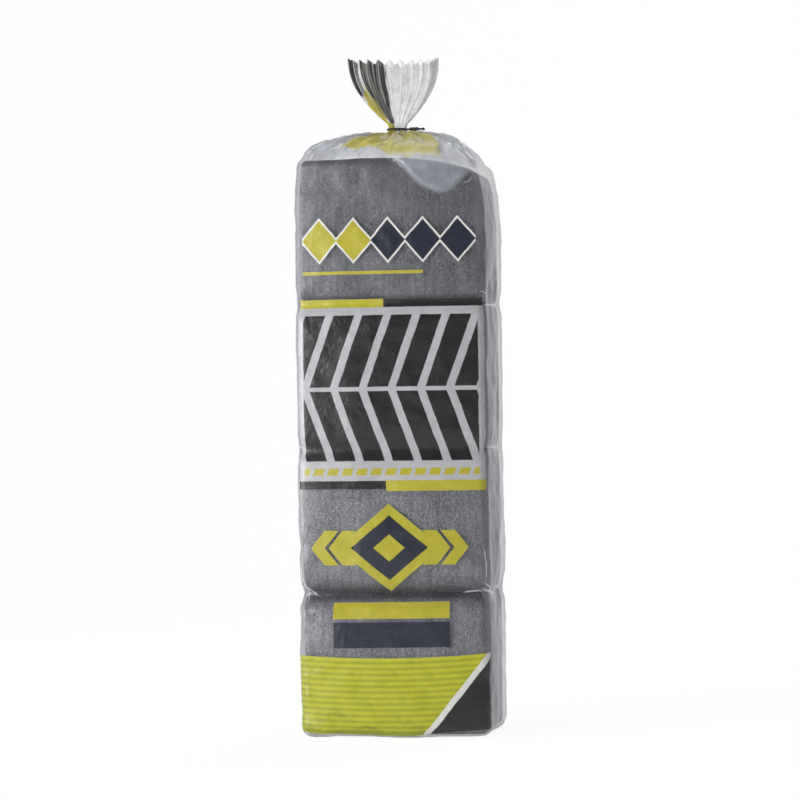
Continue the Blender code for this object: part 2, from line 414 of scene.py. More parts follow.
@dataclass(frozen=True)
class WoolFinish:
    """Fine matted steel fibre: grey, with bright strands over dark gaps, painted glints, and
    painted shade in its folds and towards its top.
    """

    gap: Colour = (0.045, 0.046, 0.053, 1.0)
    fibre: Colour = (0.325, 0.329, 0.358, 1.0)
    # Painted glints.
    glint: Colour = (0.62, 0.63, 0.67, 1.0)
    strand_dull: Colour = (0.09, 0.09, 0.10, 1.0)
    strand_bright: Colour = (0.44, 0.45, 0.48, 1.0)
    shadow: Colour = (0.012, 0.012, 0.014, 1.0)
    fibre_pitch: float = 0.50 * MM
    fibre_reach: float = 2.8 * MM
    fibre_slant: float = 0.55
    speckle_size: float = 0.42 * MM
    cloud_size: float = 16.0 * MM
    band_width: float = 2.2 * MM
    band_length: float = 24.0 * MM
    wander_size: float = 7.0 * MM
    wander_reach: float = 2.4 * MM
    # Painted shade, deep in the folds and at the seams between tiers.
    fold_shade: float = 0.82
    # Painted shade that darkens the wool towards the top.
    upper_shade: float = 0.42
    metallic: float = 0.40
    bump_depth: float = 0.35 * MM

    def build(self) -> bpy.types.Material:
        """Build the material; "sheet" is metres across and along the winding.

        Returns:
            The material.
        """
        material, board = new_board("steel_wool")
        place = board.wire("ShaderNodeUVMap", {"uv_map": "sheet"})
        across, along, _ = board.split(place)
        body = board.wire("ShaderNodeTexCoord", None, None, "Object")
        wander = (board.grain(body, 1.0 / self.wander_size) - 0.5) * self.wander_reach
        clouds = board.grain(body, 1.0 / self.cloud_size, 3.0, 0.6)
        layers = [
            self._fibres(board, across + wander + along * slant, along, turn)
            for turn, slant in enumerate((0.0, self.fibre_slant, -self.fibre_slant))
        ]
        upper = layers[0].most(layers[1]).most(layers[2])
        mean = layers[0] * 0.5 + layers[1] * 0.25 + layers[2] * 0.25
        speckle = board.grain(body, 1.0 / self.speckle_size, 1.0, 0.6)
        bands = board.joined(across / self.band_width, along / self.band_length)
        bands = board.grain(bands, 1.0, 2.0, 0.6)
        tone = (mean - 0.5) * 1.5 + (speckle - 0.5) * 1.7 + (clouds + bands - 1.0) * 0.6 + 0.5
        colour = board.blend(tone.ramp(0.05, 0.95), self.gap, self.fibre)
        # Painted glints: bright specks blended into the base colour.
        sparkle = (upper * 0.6 + speckle * 0.6).ramp(0.70, 0.86)
        colour = board.blend(sparkle * 0.8, colour, self.glint)
        # Painted shade: darker where the wool lies deep in its folds and at the seams between
        # tiers.
        colour = board.blend(board.stored("depth") * self.fold_shade, colour, self.shadow)
        strand = board.stored("strand")
        loose = board.blend(strand, self.strand_dull, self.strand_bright)
        colour = board.blend(strand.ramp(0.0, 0.05), colour, loose)
        # Painted shade: the wool gets darker towards the top of the stack.
        upwards = board.split(body)[2].ramp(0.08, 0.30)
        colour = board.blend(upwards * self.upper_shade, colour, self.shadow)
        shader = board.node("ShaderNodeBsdfPrincipled", None, {
            "Base Color": colour,
            "Metallic": self.metallic,
            "Roughness": upper.ramp(0.3, 0.9, 0.66, 0.40),
            "Normal": board.relief(mean + speckle, self.bump_depth, 0.7),
        })
        board.surface(shader)
        return material

    def _fibres(self, board: Board, across: Wire, along: Wire, layer: int) -> Wire:
        """One layer of fibres, as noise drawn out along its run."""
        vector = board.joined(across / self.fibre_pitch, along / self.fibre_reach, 3.7 * layer)
        return board.grain(vector, 1.0, 3.0, 0.6)


@dataclass
class PrintPlan:
    """The print as plain fields: signed distances in mm over the film.

    u runs round the bag from the middle of its front, and v runs up the film.
    """

    board: Board
    u: Wire
    v: Wire
    edge: float = 0.28
    bar_share: float = 0.72
    lean: float = 0.36

    def cover(self, distance: Wire) -> Wire:
        """How far a place is inside a shape, from 0 outside to 1 inside."""
        return self.board.wire(
            "ShaderNodeMapRange", None,
            {"Value": distance, "From Min": self.edge / 2, "From Max": -self.edge / 2},
        )

    def bar(self, left: float, right: float, foot: float, top: float,
            v: Wire | None = None) -> Wire:
        """The distance to an upright box.

        Args:
            left: where it starts.
            right: where it ends.
            foot: its lower edge.
            top: its upper edge.
            v: the place upwards, where it isn't the plain one.

        Returns:
            The signed distance.
        """
        v = v or self.v
        wide = abs(self.u - (left + right) / 2) - (right - left) / 2
        tall = abs(v - (foot + top) / 2) - (top - foot) / 2
        return wide.most(tall)

    def lozenge(self, centre_u: float, centre_v: float, wide: float, tall: float) -> Wire:
        """The distance to a lozenge of given half diagonals."""
        reach = abs(self.u - centre_u) / wide + abs(self.v - centre_v) / tall
        return (reach - 1.0) * (wide * tall / math.hypot(wide, tall))

    def chain(self, left: float, right: float, middle: float, tall: float, count: int,
              rim: float = 0.0) -> Wire:
        """The distance to a row of lozenges that touch, end to end.

        Args:
            left: where the row starts.
            right: where the row ends.
            middle: how high its middle lies.
            tall: half its height.
            count: how many lozenges it has.
            rim: how far each lozenge is grown.

        Returns:
            The signed distance.
        """
        wide = (right - left) / count / 2
        within = (self.u - (left + wide)).wrapped(2 * wide)
        reach = abs(within) / wide + abs(self.v - middle) / tall
        single = (reach - 1.0) * (wide * tall / math.hypot(wide, tall))
        return (single - rim).most(abs(self.u - (left + right) / 2) - (right - left) / 2)

    def slanted_bars(self, left: float, right: float, foot: float, top: float, count: int,
                     slant: float) -> Wire:
        """The distance to a row of slanted bars that fills a box.

        Args:
            left: where the box starts.
            right: where the box ends.
            foot: the box's lower edge.
            top: the box's upper edge.
            count: how many bars there are.
            slant: how far a bar leans for its height.

        Returns:
            The signed distance.
        """
        pitch = (right - left) / count
        leaned = self.u - (self.v - (foot + top) / 2) * slant
        within = (leaned - left).wrapped(pitch)
        bars = abs(within) - pitch * (self.bar_share / 2)
        return bars.most(self.bar(left, right, foot, top))

    def arrow(self, tip: float, tail: float, middle: float, half_height: float) -> Wire:
        """The distance to a chevron that points sideways.

        Args:
            tip: the end that it points to.
            tail: how far its notch reaches.
            middle: how high its middle lies.
            half_height: half its height.

        Returns:
            The signed distance.
        """
        towards = 1.0 if tip > tail else -1.0
        lean = abs(self.v - middle) * (0.8 * towards)
        front = (self.u + lean - tip) * towards
        back = (tail - self.u - lean) * towards
        return front.most(back).most(abs(self.v - middle) - half_height)

    def fold(self, start: tuple[float, float], end: tuple[float, float], bow: float,
             width: float) -> Wire:
        """A soft bowed line that fades at both ends.

        Args:
            start: u and v of one end.
            end: u and v of the other end.
            bow: how far its middle stands off the straight line.
            width: half its width.

        Returns:
            A mask, 1 on the line.
        """
        run = (end[0] - start[0], end[1] - start[1])
        length = math.hypot(*run)
        du, dv = self.u - start[0], self.v - start[1]
        share = (du * (run[0] / length ** 2)) + (dv * (run[1] / length ** 2))
        arch = share * (1.0 - share) * (4.0 * bow)
        across = abs(du * (-run[1] / length) + dv * (run[0] / length) - arch)
        return across.ramp(width, 0.0) * abs(share - 0.5).ramp(0.52, 0.25)

    def layers(self) -> list[tuple[Wire, Ink | Wire]]:
        """Every field of the print, from the lowest to the top one."""
        return self._frieze() + self._panel() + self._emblem() + self._foot() + self._gathers()

    def _frieze(self) -> list[tuple[Wire, Ink | Wire]]:
        """The row of lozenges on the top tier, with a thin rule under it.

        Returns:
            Each field's cover and its ink.
        """
        left, right, middle, half_height, count = -45.5, 45.5, 258.0, 10.6, 5
        change = left + 2 * (right - left) / count
        row = self.chain(left, right, middle, half_height, count)
        rim = self.chain(left, right, middle, half_height, count, rim=1.0)
        rule = self.bar(left, 18.2, 240.4, 242.2)
        return [
            (self.cover(rim), Ink.BRIGHT_WHITE),
            (self.cover(row.most(self.u - change)), Ink.YELLOW),
            (self.cover(row.most(change - self.u)), Ink.NAVY),
            (self.cover(rule), Ink.YELLOW),
        ]

    def _panel(self) -> list[tuple[Wire, Ink | Wire]]:
        """The light panel of the front, with its borders and its herringbone.

        Returns:
            Each field's cover and its ink.
        """
        left, right = -48.8, 49.6
        upper_change, lower_change = -3.1, -2.8
        inner_left, inner_right, bars = -45.8, 46.0, 6
        fields = [
            (self.bar(left, right, 133.2, 223.4), Ink.PAPER_WHITE),
            (self.bar(left, upper_change, 223.3, 227.6), Ink.YELLOW),
            (self.bar(upper_change, right, 223.3, 227.6), Ink.CHARCOAL),
        ]
        for foot, top, count, slant, ink in (
            (182.0, 219.2, bars, self.lean, Ink.CHARCOAL),
            (143.6, 179.8, bars, -self.lean, Ink.CHARCOAL),
            (136.2, 139.8, 2 * bars, self.lean, Ink.YELLOW),
        ):
            row = self.slanted_bars(inner_left, inner_right, foot, top, count, slant)
            fields.append((row, ink))
        fields.append((self.bar(left, lower_change, 129.0, 133.3), Ink.CHARCOAL))
        fields.append((self.bar(lower_change, right + 0.4, 127.9, 133.5), Ink.YELLOW))
        return [(self.cover(distance), ink) for distance, ink in fields]

    def _emblem(self) -> list[tuple[Wire, Ink | Wire]]:
        """The lozenge between its chevrons, and the two bars below it.

        Returns:
            Each field's cover and its ink.
        """
        centre, middle = -1.5, 98.6
        fields = [
            (self.lozenge(centre, middle, wide, tall), ink)
            for wide, tall, ink in (
                (27.5, 22.8, Ink.YELLOW), (20.2, 16.8, Ink.NAVY), (8.4, 7.0, Ink.YELLOW),
            )
        ]
        arrow_length, arrow_half_height = 7.5, 9.0
        for reach in (41.5, 32.0):
            for side in (1.0, -1.0):
                tip = centre + side * reach
                arrow = self.arrow(tip, tip - side * arrow_length, middle, arrow_half_height)
                fields.append((arrow, Ink.YELLOW))
        bar_left, bar_right = -31.7, 29.7
        fields.append((self.bar(bar_left, bar_right, 46.8, 60.2), Ink.NAVY))
        fields.append((self.bar(bar_left, bar_right, 61.8, 70.3), Ink.YELLOW))
        return [(self.cover(distance), ink) for distance, ink in fields]

    def _foot(self) -> list[tuple[Wire, Ink | Wire]]:
        """The ribbed field at the foot, with painted shade of its folds, and a slanted stripe
        before a dark corner.

        Returns:
            Each field's cover and its ink.
        """
        rib_pitch, stripe_width = 3.05, 3.0
        half_width, foot, top = 50.6, 1.2, 41.4
        sag = self.v - self.u * self.u * 0.0008
        ribs = self.board.maths("SINE", sag * (2 * math.pi / rib_pitch))
        # Painted shade of the film's folds: the lime darkens towards the bottom and the left edge,
        # and in soft patches near the bottom; the ribs are print.
        edge_shade = self.v.ramp(9.0, 0.0) + self.u.ramp(-43.0, -50.0)
        stretched = self.board.joined(self.u, self.v * 1.8)
        shade_patches = self.board.grain(stretched, 0.08, 4.0, 0.65).ramp(0.46, 0.72)
        low = self.v.ramp(22.0, 4.0)
        ribs_and_shade = ribs.ramp(0.8, -1.0) * 0.55 + edge_shade * 0.45 + shade_patches * (low * 0.5 + 0.2)
        lime = self.board.blend(ribs_and_shade.least(1.0), Ink.LIME.value, Ink.LIME_SHADE.value)
        field = self.bar(-half_width, half_width, foot, top, v=sag)
        slope = 11.0 - (self.u * 0.78 - self.v * 0.626)
        return [
            (self.cover(field), lime),
            (self.cover(field.most(slope)), Ink.BRIGHT_WHITE),
            (self.cover(field.most(slope + stripe_width)), Ink.CHARCOAL),
        ]

    def _gathers(self) -> list[tuple[Wire, Ink | Wire]]:
        """The plain fields that end up in the dome, the neck and the fan.

        Returns:
            Each field's cover and its ink.
        """
        swing = self.board.grain(self.board.joined(self.u, 0.0), 0.13, 2.0, 0.6) - 0.5
        hem = self.v - self.u.ramp(4.0, -10.0) * 4.5 + swing * 8.0
        top = self.v - (self.u + 29.0) * 0.378
        border = 12.0 - (self.v - 355.0) * 0.43 - self.u
        mouth = 420.0
        fields = (
            (self.bar(-28.0, 33.0, 300.5, 352.0, v=hem), Ink.YELLOW),
            (self.bar(-29.0, 17.0, 340.0, 362.0, v=top), Ink.YELLOW),
            (self.bar(-62.0, -12.3, 368.0, mouth), Ink.CHARCOAL),
            (border.most(self.bar(-10.0, 39.0, 351.0, mouth)), Ink.CHARCOAL),
        )
        return [(self.cover(distance), ink) for distance, ink in fields]


@dataclass(frozen=True)
class FilmFinish:
    """Thin clear film, a little milky where it stands off, printed in fields."""

    milk: Colour = (0.415, 0.435, 0.49, 1.0)
    fan_milk: Colour = (0.60, 0.61, 0.63, 1.0)
    # Painted highlight colour of the sharp folds.
    fold_highlight: Colour = (0.86, 0.87, 0.90, 1.0)
    worn_ink: Colour = (0.52, 0.51, 0.42, 1.0)
    clear_share: float = 0.04
    milk_share: float = 0.70
    slant_share: float = 0.66
    ink_share: float = 0.965
    roughness: float = 0.28
    ink_roughness: float = 0.36
    gloss_roughness: float = 0.34
    gloss_share: float = 0.055
    wear_size: float = 6.0 * MM
    cloud_size: float = 13.0 * MM
    crinkle: float = 6.0 * MM
    crinkle_depth: float = 0.7 * MM

    def build(self) -> bpy.types.Material:
        """Build the material; "sheet" is metres over the flat film.

        Returns:
            The material.
        """
        material, board = new_board("clear_film")
        place = board.wire("ShaderNodeUVMap", {"uv_map": "sheet"})
        across, along, _ = board.split(place)
        gather = board.stored("gather")
        haze_and_sheen = board.stored("haze_and_sheen")
        wear = board.grain(place, 1.0 / self.wear_size, 4.0, 0.6)
        cloud = board.grain(place, 1.0 / self.cloud_size, 3.0, 0.6)
        loose = gather.ramp(0.0, 0.02)
        u = across / MM + (cloud - 0.5) * (1.1 + loose * 9.0)
        v = along / MM + (wear - 0.5) * (0.5 + loose * 3.0)
        tilt = v.ramp(140.0, 20.0, 0.0, 0.012)
        plan = PrintPlan(board, u, v - u * tilt)
        folds = self._fold_highlights(plan)
        film = self._film_cover(board, plan, folds, haze_and_sheen, cloud)
        colour = board.blend(gather.ramp(0.02, 0.5), self.milk, self.fan_milk)
        # Painted highlights: white lines along the sharp folds.
        colour, inked = self._printed(board, plan, board.blend(folds, colour, self.fold_highlight))
        worn = self._worn(board, across, along, gather)
        veil = self._veil(u, v, gather, cloud)
        pale = (veil + worn + haze_and_sheen * 0.03).least(0.8)
        colour = board.blend(pale * inked, colour, self.worn_ink)
        tired = board.wire("ShaderNodeHueSaturation", None, {
            "Value": wear.ramp(0.2, 0.8, 0.90, 1.06), "Color": colour,
        })
        cover = self.ink_share - worn * 0.5 - veil * 0.35
        bump = board.relief(self._crinkles(board, place, gather), self.crinkle_depth, 0.5)
        shader = board.node("ShaderNodeBsdfPrincipled", None, {
            "Base Color": tired,
            "Roughness": self.roughness + inked * (self.ink_roughness - self.roughness),
            "Specular IOR Level": 0.15,
            "Alpha": (film + (cover - film) * inked).least(0.98),
            "Normal": bump,
        })
        gloss = board.node("ShaderNodeBsdfGlossy", None, {
            "Color": WHITE, "Roughness": self.gloss_roughness, "Normal": bump,
        })
        shine = board.wire("ShaderNodeFresnel", None, {"IOR": 1.5, "Normal": bump})
        both = board.node("ShaderNodeMixShader", None, {
            0: (shine * 0.8).least(self.gloss_share), 1: shader.outputs[0], 2: gloss.outputs[0],
        })
        board.surface(both)
        return material

    def _film_cover(self, board: Board, plan: PrintPlan, folds: Wire, haze_and_sheen: Wire,
                    cloud: Wire) -> Wire:
        """How much the bare film hides: more where it is hazy, on its painted sheen and fold
        highlights, or where it is seen at a slant.

        Args:
            board: the material's board.
            plan: the film's places.
            folds: the mask of the painted highlights along the sharp folds.
            haze_and_sheen: how milky the film is, with painted sheen on its ridges.
            cloud: soft noise over the film.

        Returns:
            The share of what is behind the film that it hides.
        """
        slant = board.wire("ShaderNodeLayerWeight", None, {"Blend": 0.5}, "Facing")
        film = self.clear_share + haze_and_sheen * self.milk_share * cloud.ramp(0.25, 0.75, 0.65, 1.2)
        # The painted fold highlights also make the film more opaque.
        film = film + folds * 0.5 + self._smears(plan) * 0.12
        return (film + slant * slant * slant * self.slant_share).least(0.92)

    @staticmethod
    def _printed(board: Board, plan: PrintPlan, colour: Wire) -> tuple[Wire, Wire]:
        """Lay the print's fields over the film's own colour.

        Args:
            board: the material's board.
            plan: the print.
            colour: the bare film's colour.

        Returns:
            The printed colour, and the mask of all ink.
        """
        inked = None
        for mask, ink in plan.layers():
            colour = board.blend(mask, colour, ink.value if isinstance(ink, Ink) else ink)
            inked = mask if inked is None else inked.most(mask)
        return colour, inked

    @staticmethod
    def _worn(board: Board, across: Wire, along: Wire, gather: Wire) -> Wire:
        """Where the ink of the fan is rubbed off in streaks.

        Args:
            board: the material's board.
            across: the place round the bag.
            along: the place up the film.
            gather: how far the film is gathered.

        Returns:
            A mask, about half where the ink is rubbed off.
        """
        streak = board.joined(across / (1.5 * MM), along / (40.0 * MM))
        streak = board.grain(streak, 1.0, 3.0, 0.6)
        return gather.ramp(0.5, 0.56) * streak.ramp(0.5, 0.62) * 0.55

    @staticmethod
    def _veil(u: Wire, v: Wire, gather: Wire, cloud: Wire) -> Wire:
        """Where loose film lies over the dome's ink and makes it pale.

        Args:
            u: the place round the bag, in mm.
            v: the place up the film, in mm.
            gather: how far the film is gathered.
            cloud: soft noise over the film.

        Returns:
            A mask, more where the ink is paler.
        """
        on_dome = gather.ramp(0.0, 0.03) * gather.ramp(0.52, 0.46)
        patch = abs(u + 18.0).ramp(12.0, 8.0) * v.ramp(303.0, 308.0)
        veil = on_dome * (1.0 - patch * 0.95) * cloud.ramp(0.3, 0.7, 0.06, 0.42)
        hem = v.ramp(305.0, 300.0) * v.ramp(290.0, 297.0) * u.ramp(-14.0, -2.0)
        return veil.most(hem * 0.6)

    def _smears(self, plan: PrintPlan) -> Wire:
        """The broad soft streaks where the film lies a little off the wool.

        Args:
            plan: the film's places.

        Returns:
            A mask, 1 in the middle of a streak.
        """
        soft = 0.0
        for start, end, bow, width in (
            ((-43.0, 304.0), (-41.0, 232.0), 2.0, 7.0), ((-27.0, 302.0), (-30.0, 268.0), 1.0, 5.0),
            ((-12.0, 298.0), (-8.0, 276.0), -1.0, 3.5), ((-46.0, 126.0), (-44.0, 82.0), -2.0, 5.0),
            ((20.0, 92.0), (46.0, 84.0), 2.0, 4.0), ((-44.0, 62.0), (-38.0, 44.0), 1.0, 4.0),
        ):
            soft = plan.fold(start, end, bow, width).most(soft)
        return soft

    def _fold_highlights(self, plan: PrintPlan) -> Wire:
        """Painted highlights: the white lines along sharp folds, most of them near the lowest
        waist.

        Args:
            plan: the film's places.

        Returns:
            A mask, 1 on a fold.
        """
        sharp = 0.0
        for start, end, bow, width in (
            ((46.0, 80.0), (62.0, 69.5), 1.6, 0.7), ((47.5, 100.0), (48.5, 79.0), 0.8, 0.8),
            ((44.0, 77.5), (72.0, 73.0), -1.0, 0.9), ((35.5, 74.6), (48.5, 75.3), 0.5, 0.8),
            ((-50.0, 92.0), (-45.6, 68.0), -0.9, 1.0), ((-49.0, 78.0), (-41.0, 73.5), 0.8, 0.5),
            ((-52.0, 152.0), (-44.5, 147.0), 0.6, 0.5), ((46.0, 231.0), (58.0, 226.0), 1.0, 0.5),
            ((39.5, 287.5), (46.5, 291.5), -1.6, 0.5), ((-47.0, 302.0), (-38.0, 313.0), 1.2, 0.6),
            ((-34.0, 303.0), (-27.0, 318.0), -1.0, 0.6), ((47.0, 296.0), (37.0, 312.0), -1.4, 0.7),
        ):
            sharp = plan.fold(start, end, bow, width).most(sharp)
        return sharp

    def _crinkles(self, board: Board, place: Wire, gather: Wire) -> Wire:
        """The height of the fine creases, less of them where the film is gathered.

        Args:
            board: the material's board.
            place: the place on the flat film.
            gather: how far the film is gathered.

        Returns:
            The height, from about 0 to 1.
        """
        soft = board.grain(place, 1.0 / (2.6 * self.crinkle), 2.0, 0.5)
        fold = abs(board.grain(place, 1.0 / self.crinkle, 2.0, 0.5) - 0.5)
        return (soft + fold * 1.3) * gather.ramp(0.0, 0.5, 1.0, 0.12)


@dataclass(frozen=True)
class TieFinish:
    """Thin plastic coating on a wire."""

    colour: Colour = (0.014, 0.015, 0.014, 1.0)
    scuffed: Colour = (0.07, 0.07, 0.068, 1.0)
    scuff_size: float = 0.7 * MM
    bump_depth: float = 0.1 * MM

    def build(self) -> bpy.types.Material:
        """Build the material, with faint scuffs along the coating.

        Returns:
            The material.
        """
        material, board = new_board("tie_wire")
        body = board.wire("ShaderNodeTexCoord", None, None, "Object")
        scuff = board.grain(body, 1.0 / self.scuff_size, 4.0, 0.65)
        colour = board.blend(scuff.ramp(0.5, 0.8) * 0.6, self.colour, self.scuffed)
        shader = board.node("ShaderNodeBsdfPrincipled", None, {
            "Base Color": colour,
            "Roughness": scuff.ramp(0.3, 0.7, 0.30, 0.50),
            "Normal": board.relief(scuff, self.bump_depth, 0.4),
        })
        board.surface(shader)
        return material


class StrandGarden:
    """A Geometry Nodes tree that lays loose steel strands over a pad."""

    def __init__(self, material: bpy.types.Material) -> None:
        """Build the tree once; each pad then gives its own density and seed.

        Args:
            material: the wool's finish, which the strands get too.
        """
        self.tree = bpy.data.node_groups.new("loose_strands", "GeometryNodeTree")
        self.board = Board(self.tree)
        self.keys: dict[str, str] = {}
        self._socket("Geometry", "NodeSocketGeometry")
        for name in ("Density", "Length", "Thickness"):
            self._socket(name, "NodeSocketFloat")
        self._socket("Seed", "NodeSocketInt")
        self._socket("Wool", "NodeSocketMaterial")
        self.tree.interface.new_socket(
            "Geometry", in_out="OUTPUT", socket_type="NodeSocketGeometry")
        self.material = material
        self._grow()

    def _socket(self, name: str, kind: str) -> None:
        """Add a named input and keep its identifier."""
        item = self.tree.interface.new_socket(name, in_out="INPUT", socket_type=kind)
        self.keys[name] = item.identifier

    def _random(self, low: float, high: float, seed: Wire, shift: int) -> Wire:
        """A random number for each strand."""
        return self.board.wire("FunctionNodeRandomValue", {"data_type": "FLOAT"}, {
            2: low, 3: high, "Seed": seed + float(shift),
        }, 1)

    def _strand(self, length: Wire, thickness: Wire, bend: float, lift: float) -> Wire:
        """One bent strand, a closed tube of three sides.

        Args:
            length: its length.
            thickness: its thickness.
            bend: how far its middle bends sideways, as a share of its length.
            lift: how far its middle rises, as a share of its length.

        Returns:
            The strand, along X and about the origin.
        """
        board = self.board
        half = length * 0.5
        arc = board.wire("GeometryNodeCurveQuadraticBezier", None, {
            "Resolution": 3,
            "Start": board.joined(half * -1.0, 0.0, thickness * -1.0),
            "Middle": board.joined(length * 0.1, length * bend, length * lift),
            "End": board.joined(half, length * bend * -0.4, thickness * -1.0),
        })
        ring = board.wire("GeometryNodeCurvePrimitiveCircle", None, {
            "Resolution": 3, "Radius": thickness * 0.5,
        })
        return board.wire("GeometryNodeCurveToMesh", None, {
            "Curve": arc, "Profile Curve": ring, "Fill Caps": True,
        })

    def _grow(self) -> None:
        """Lay the strands on the open sides, mostly along the winding."""
        board = self.board
        given = board.node("NodeGroupInput")
        take = {name: Wire(board, given.outputs[name]) for name in self.keys}
        seed = take["Seed"]
        open_side = board.wire(
            "GeometryNodeInputNamedAttribute", {"data_type": "FLOAT"}, {"Name": "open_side"})
        scatter = board.node("GeometryNodeDistributePointsOnFaces", None, {
            "Mesh": take["Geometry"], "Density": take["Density"] * open_side, "Seed": seed,
        })
        normal = Wire(board, scatter.outputs["Normal"])
        align = "FunctionNodeAlignRotationToVector"
        upright = board.wire(align, {"axis": "Z"}, {"Vector": normal})
        run = board.wire(
            "ShaderNodeVectorMath", {"operation": "CROSS_PRODUCT"}, {0: normal, 1: (1, 0, 0)})
        laid = board.wire(align, {"axis": "X", "pivot_axis": "Z"}, {
            "Rotation": upright, "Vector": run,
        })
        wide = self._random(-1.5, 1.5, seed, 11)
        spin = board.wire("FunctionNodeAxisAngleToRotation", None, {
            "Axis": (0.0, 0.0, 1.0), "Angle": wide * abs(wide) * 0.7,
        })
        turned = board.wire("FunctionNodeRotateRotation", {"rotation_space": "LOCAL"}, {
            "Rotation": laid, "Rotate By": spin,
        })
        kinds = board.node("GeometryNodeGeometryToInstance")
        for bend, lift in ((0.16, 0.04), (-0.06, 0.02), (-0.26, 0.05)):
            strand = self._strand(take["Length"], take["Thickness"], bend, lift)
            self.tree.links.new(strand.socket, kinds.inputs[0])
        size = self._random(0.45, 1.35, seed, 23)
        placed = board.wire("GeometryNodeInstanceOnPoints", None, {
            "Points": Wire(board, scatter.outputs["Points"]),
            "Instance": Wire(board, kinds.outputs[0]),
            "Pick Instance": True,
            "Instance Index": board.wire("FunctionNodeRandomValue", {"data_type": "INT"}, {
                4: 0, 5: 2, "Seed": seed + 31.0,
            }, 2),
            "Rotation": turned,
            "Scale": board.joined(size, size, size.ramp(0.0, 2.0, 0.8, 1.2)),
        })
        shine = self._random(0.08, 1.0, seed, 47)
        instances = {"data_type": "FLOAT", "domain": "INSTANCE"}
        marked = board.wire("GeometryNodeStoreNamedAttribute", instances, {
            "Geometry": placed, "Name": "strand", "Value": shine * shine + 0.06,
        })
        both = board.node("GeometryNodeJoinGeometry")
        for part in (marked, take["Geometry"]):
            self.tree.links.new(part.socket, both.inputs[0])
        joined = Wire(board, both.outputs[0])
        real = board.wire("GeometryNodeRealizeInstances", None, {"Geometry": joined})
        dressed = board.wire("GeometryNodeSetMaterial", None, {
            "Geometry": real, "Material": take["Wool"],
        })
        board.node("NodeGroupOutput", None, {0: dressed})

    def grown(self, mesh: bpy.types.Mesh, name: str, density: float, length: float,
              thickness: float, seed: int) -> bpy.types.Mesh:
        """The pad's mesh with its strands, as one plain mesh.

        Args:
            mesh: the pad's body, with the attribute "open_side".
            name: the new mesh's name.
            density: strands to a square metre of open side.
            length: a strand's length.
            thickness: a strand's thickness.
            seed: the pad's own random seed.

        Returns:
            The body and its strands in one mesh.
        """
        carrier = bpy.data.objects.new("carrier", mesh)
        bpy.context.scene.collection.objects.link(carrier)
        modifier = carrier.modifiers.new("strands", "NODES")
        modifier.node_group = self.tree
        values = {
            "Density": density, "Length": length, "Thickness": thickness, "Seed": seed,
            "Wool": self.material,
        }
        for key, value in values.items():
            modifier[self.keys[key]] = value
        depsgraph = bpy.context.evaluated_depsgraph_get()
        plain = bpy.data.meshes.new_from_object(carrier.evaluated_get(depsgraph))
        plain.name = name
        carrier.modifiers.remove(modifier)
        bpy.data.objects.remove(carrier)
        return plain


def press_flat(mesh: bpy.types.Mesh, low: Vector, high: Vector) -> None:
    """Press what stands out of a box back towards it, as the film does to strands.

    Args:
        mesh: the mesh, which is changed.
        low: the box's lowest corner.
        high: the box's highest corner.
    """
    points = np.empty(len(mesh.vertices) * 3, np.float32)
    mesh.vertices.foreach_get("co", points)
    points = points.reshape(-1, 3)
    inside = np.clip(points, np.array(low), np.array(high))
    points = inside + (points - inside) * PRESSED_SHARE
    mesh.vertices.foreach_set("co", points.ravel())
    mesh.update()


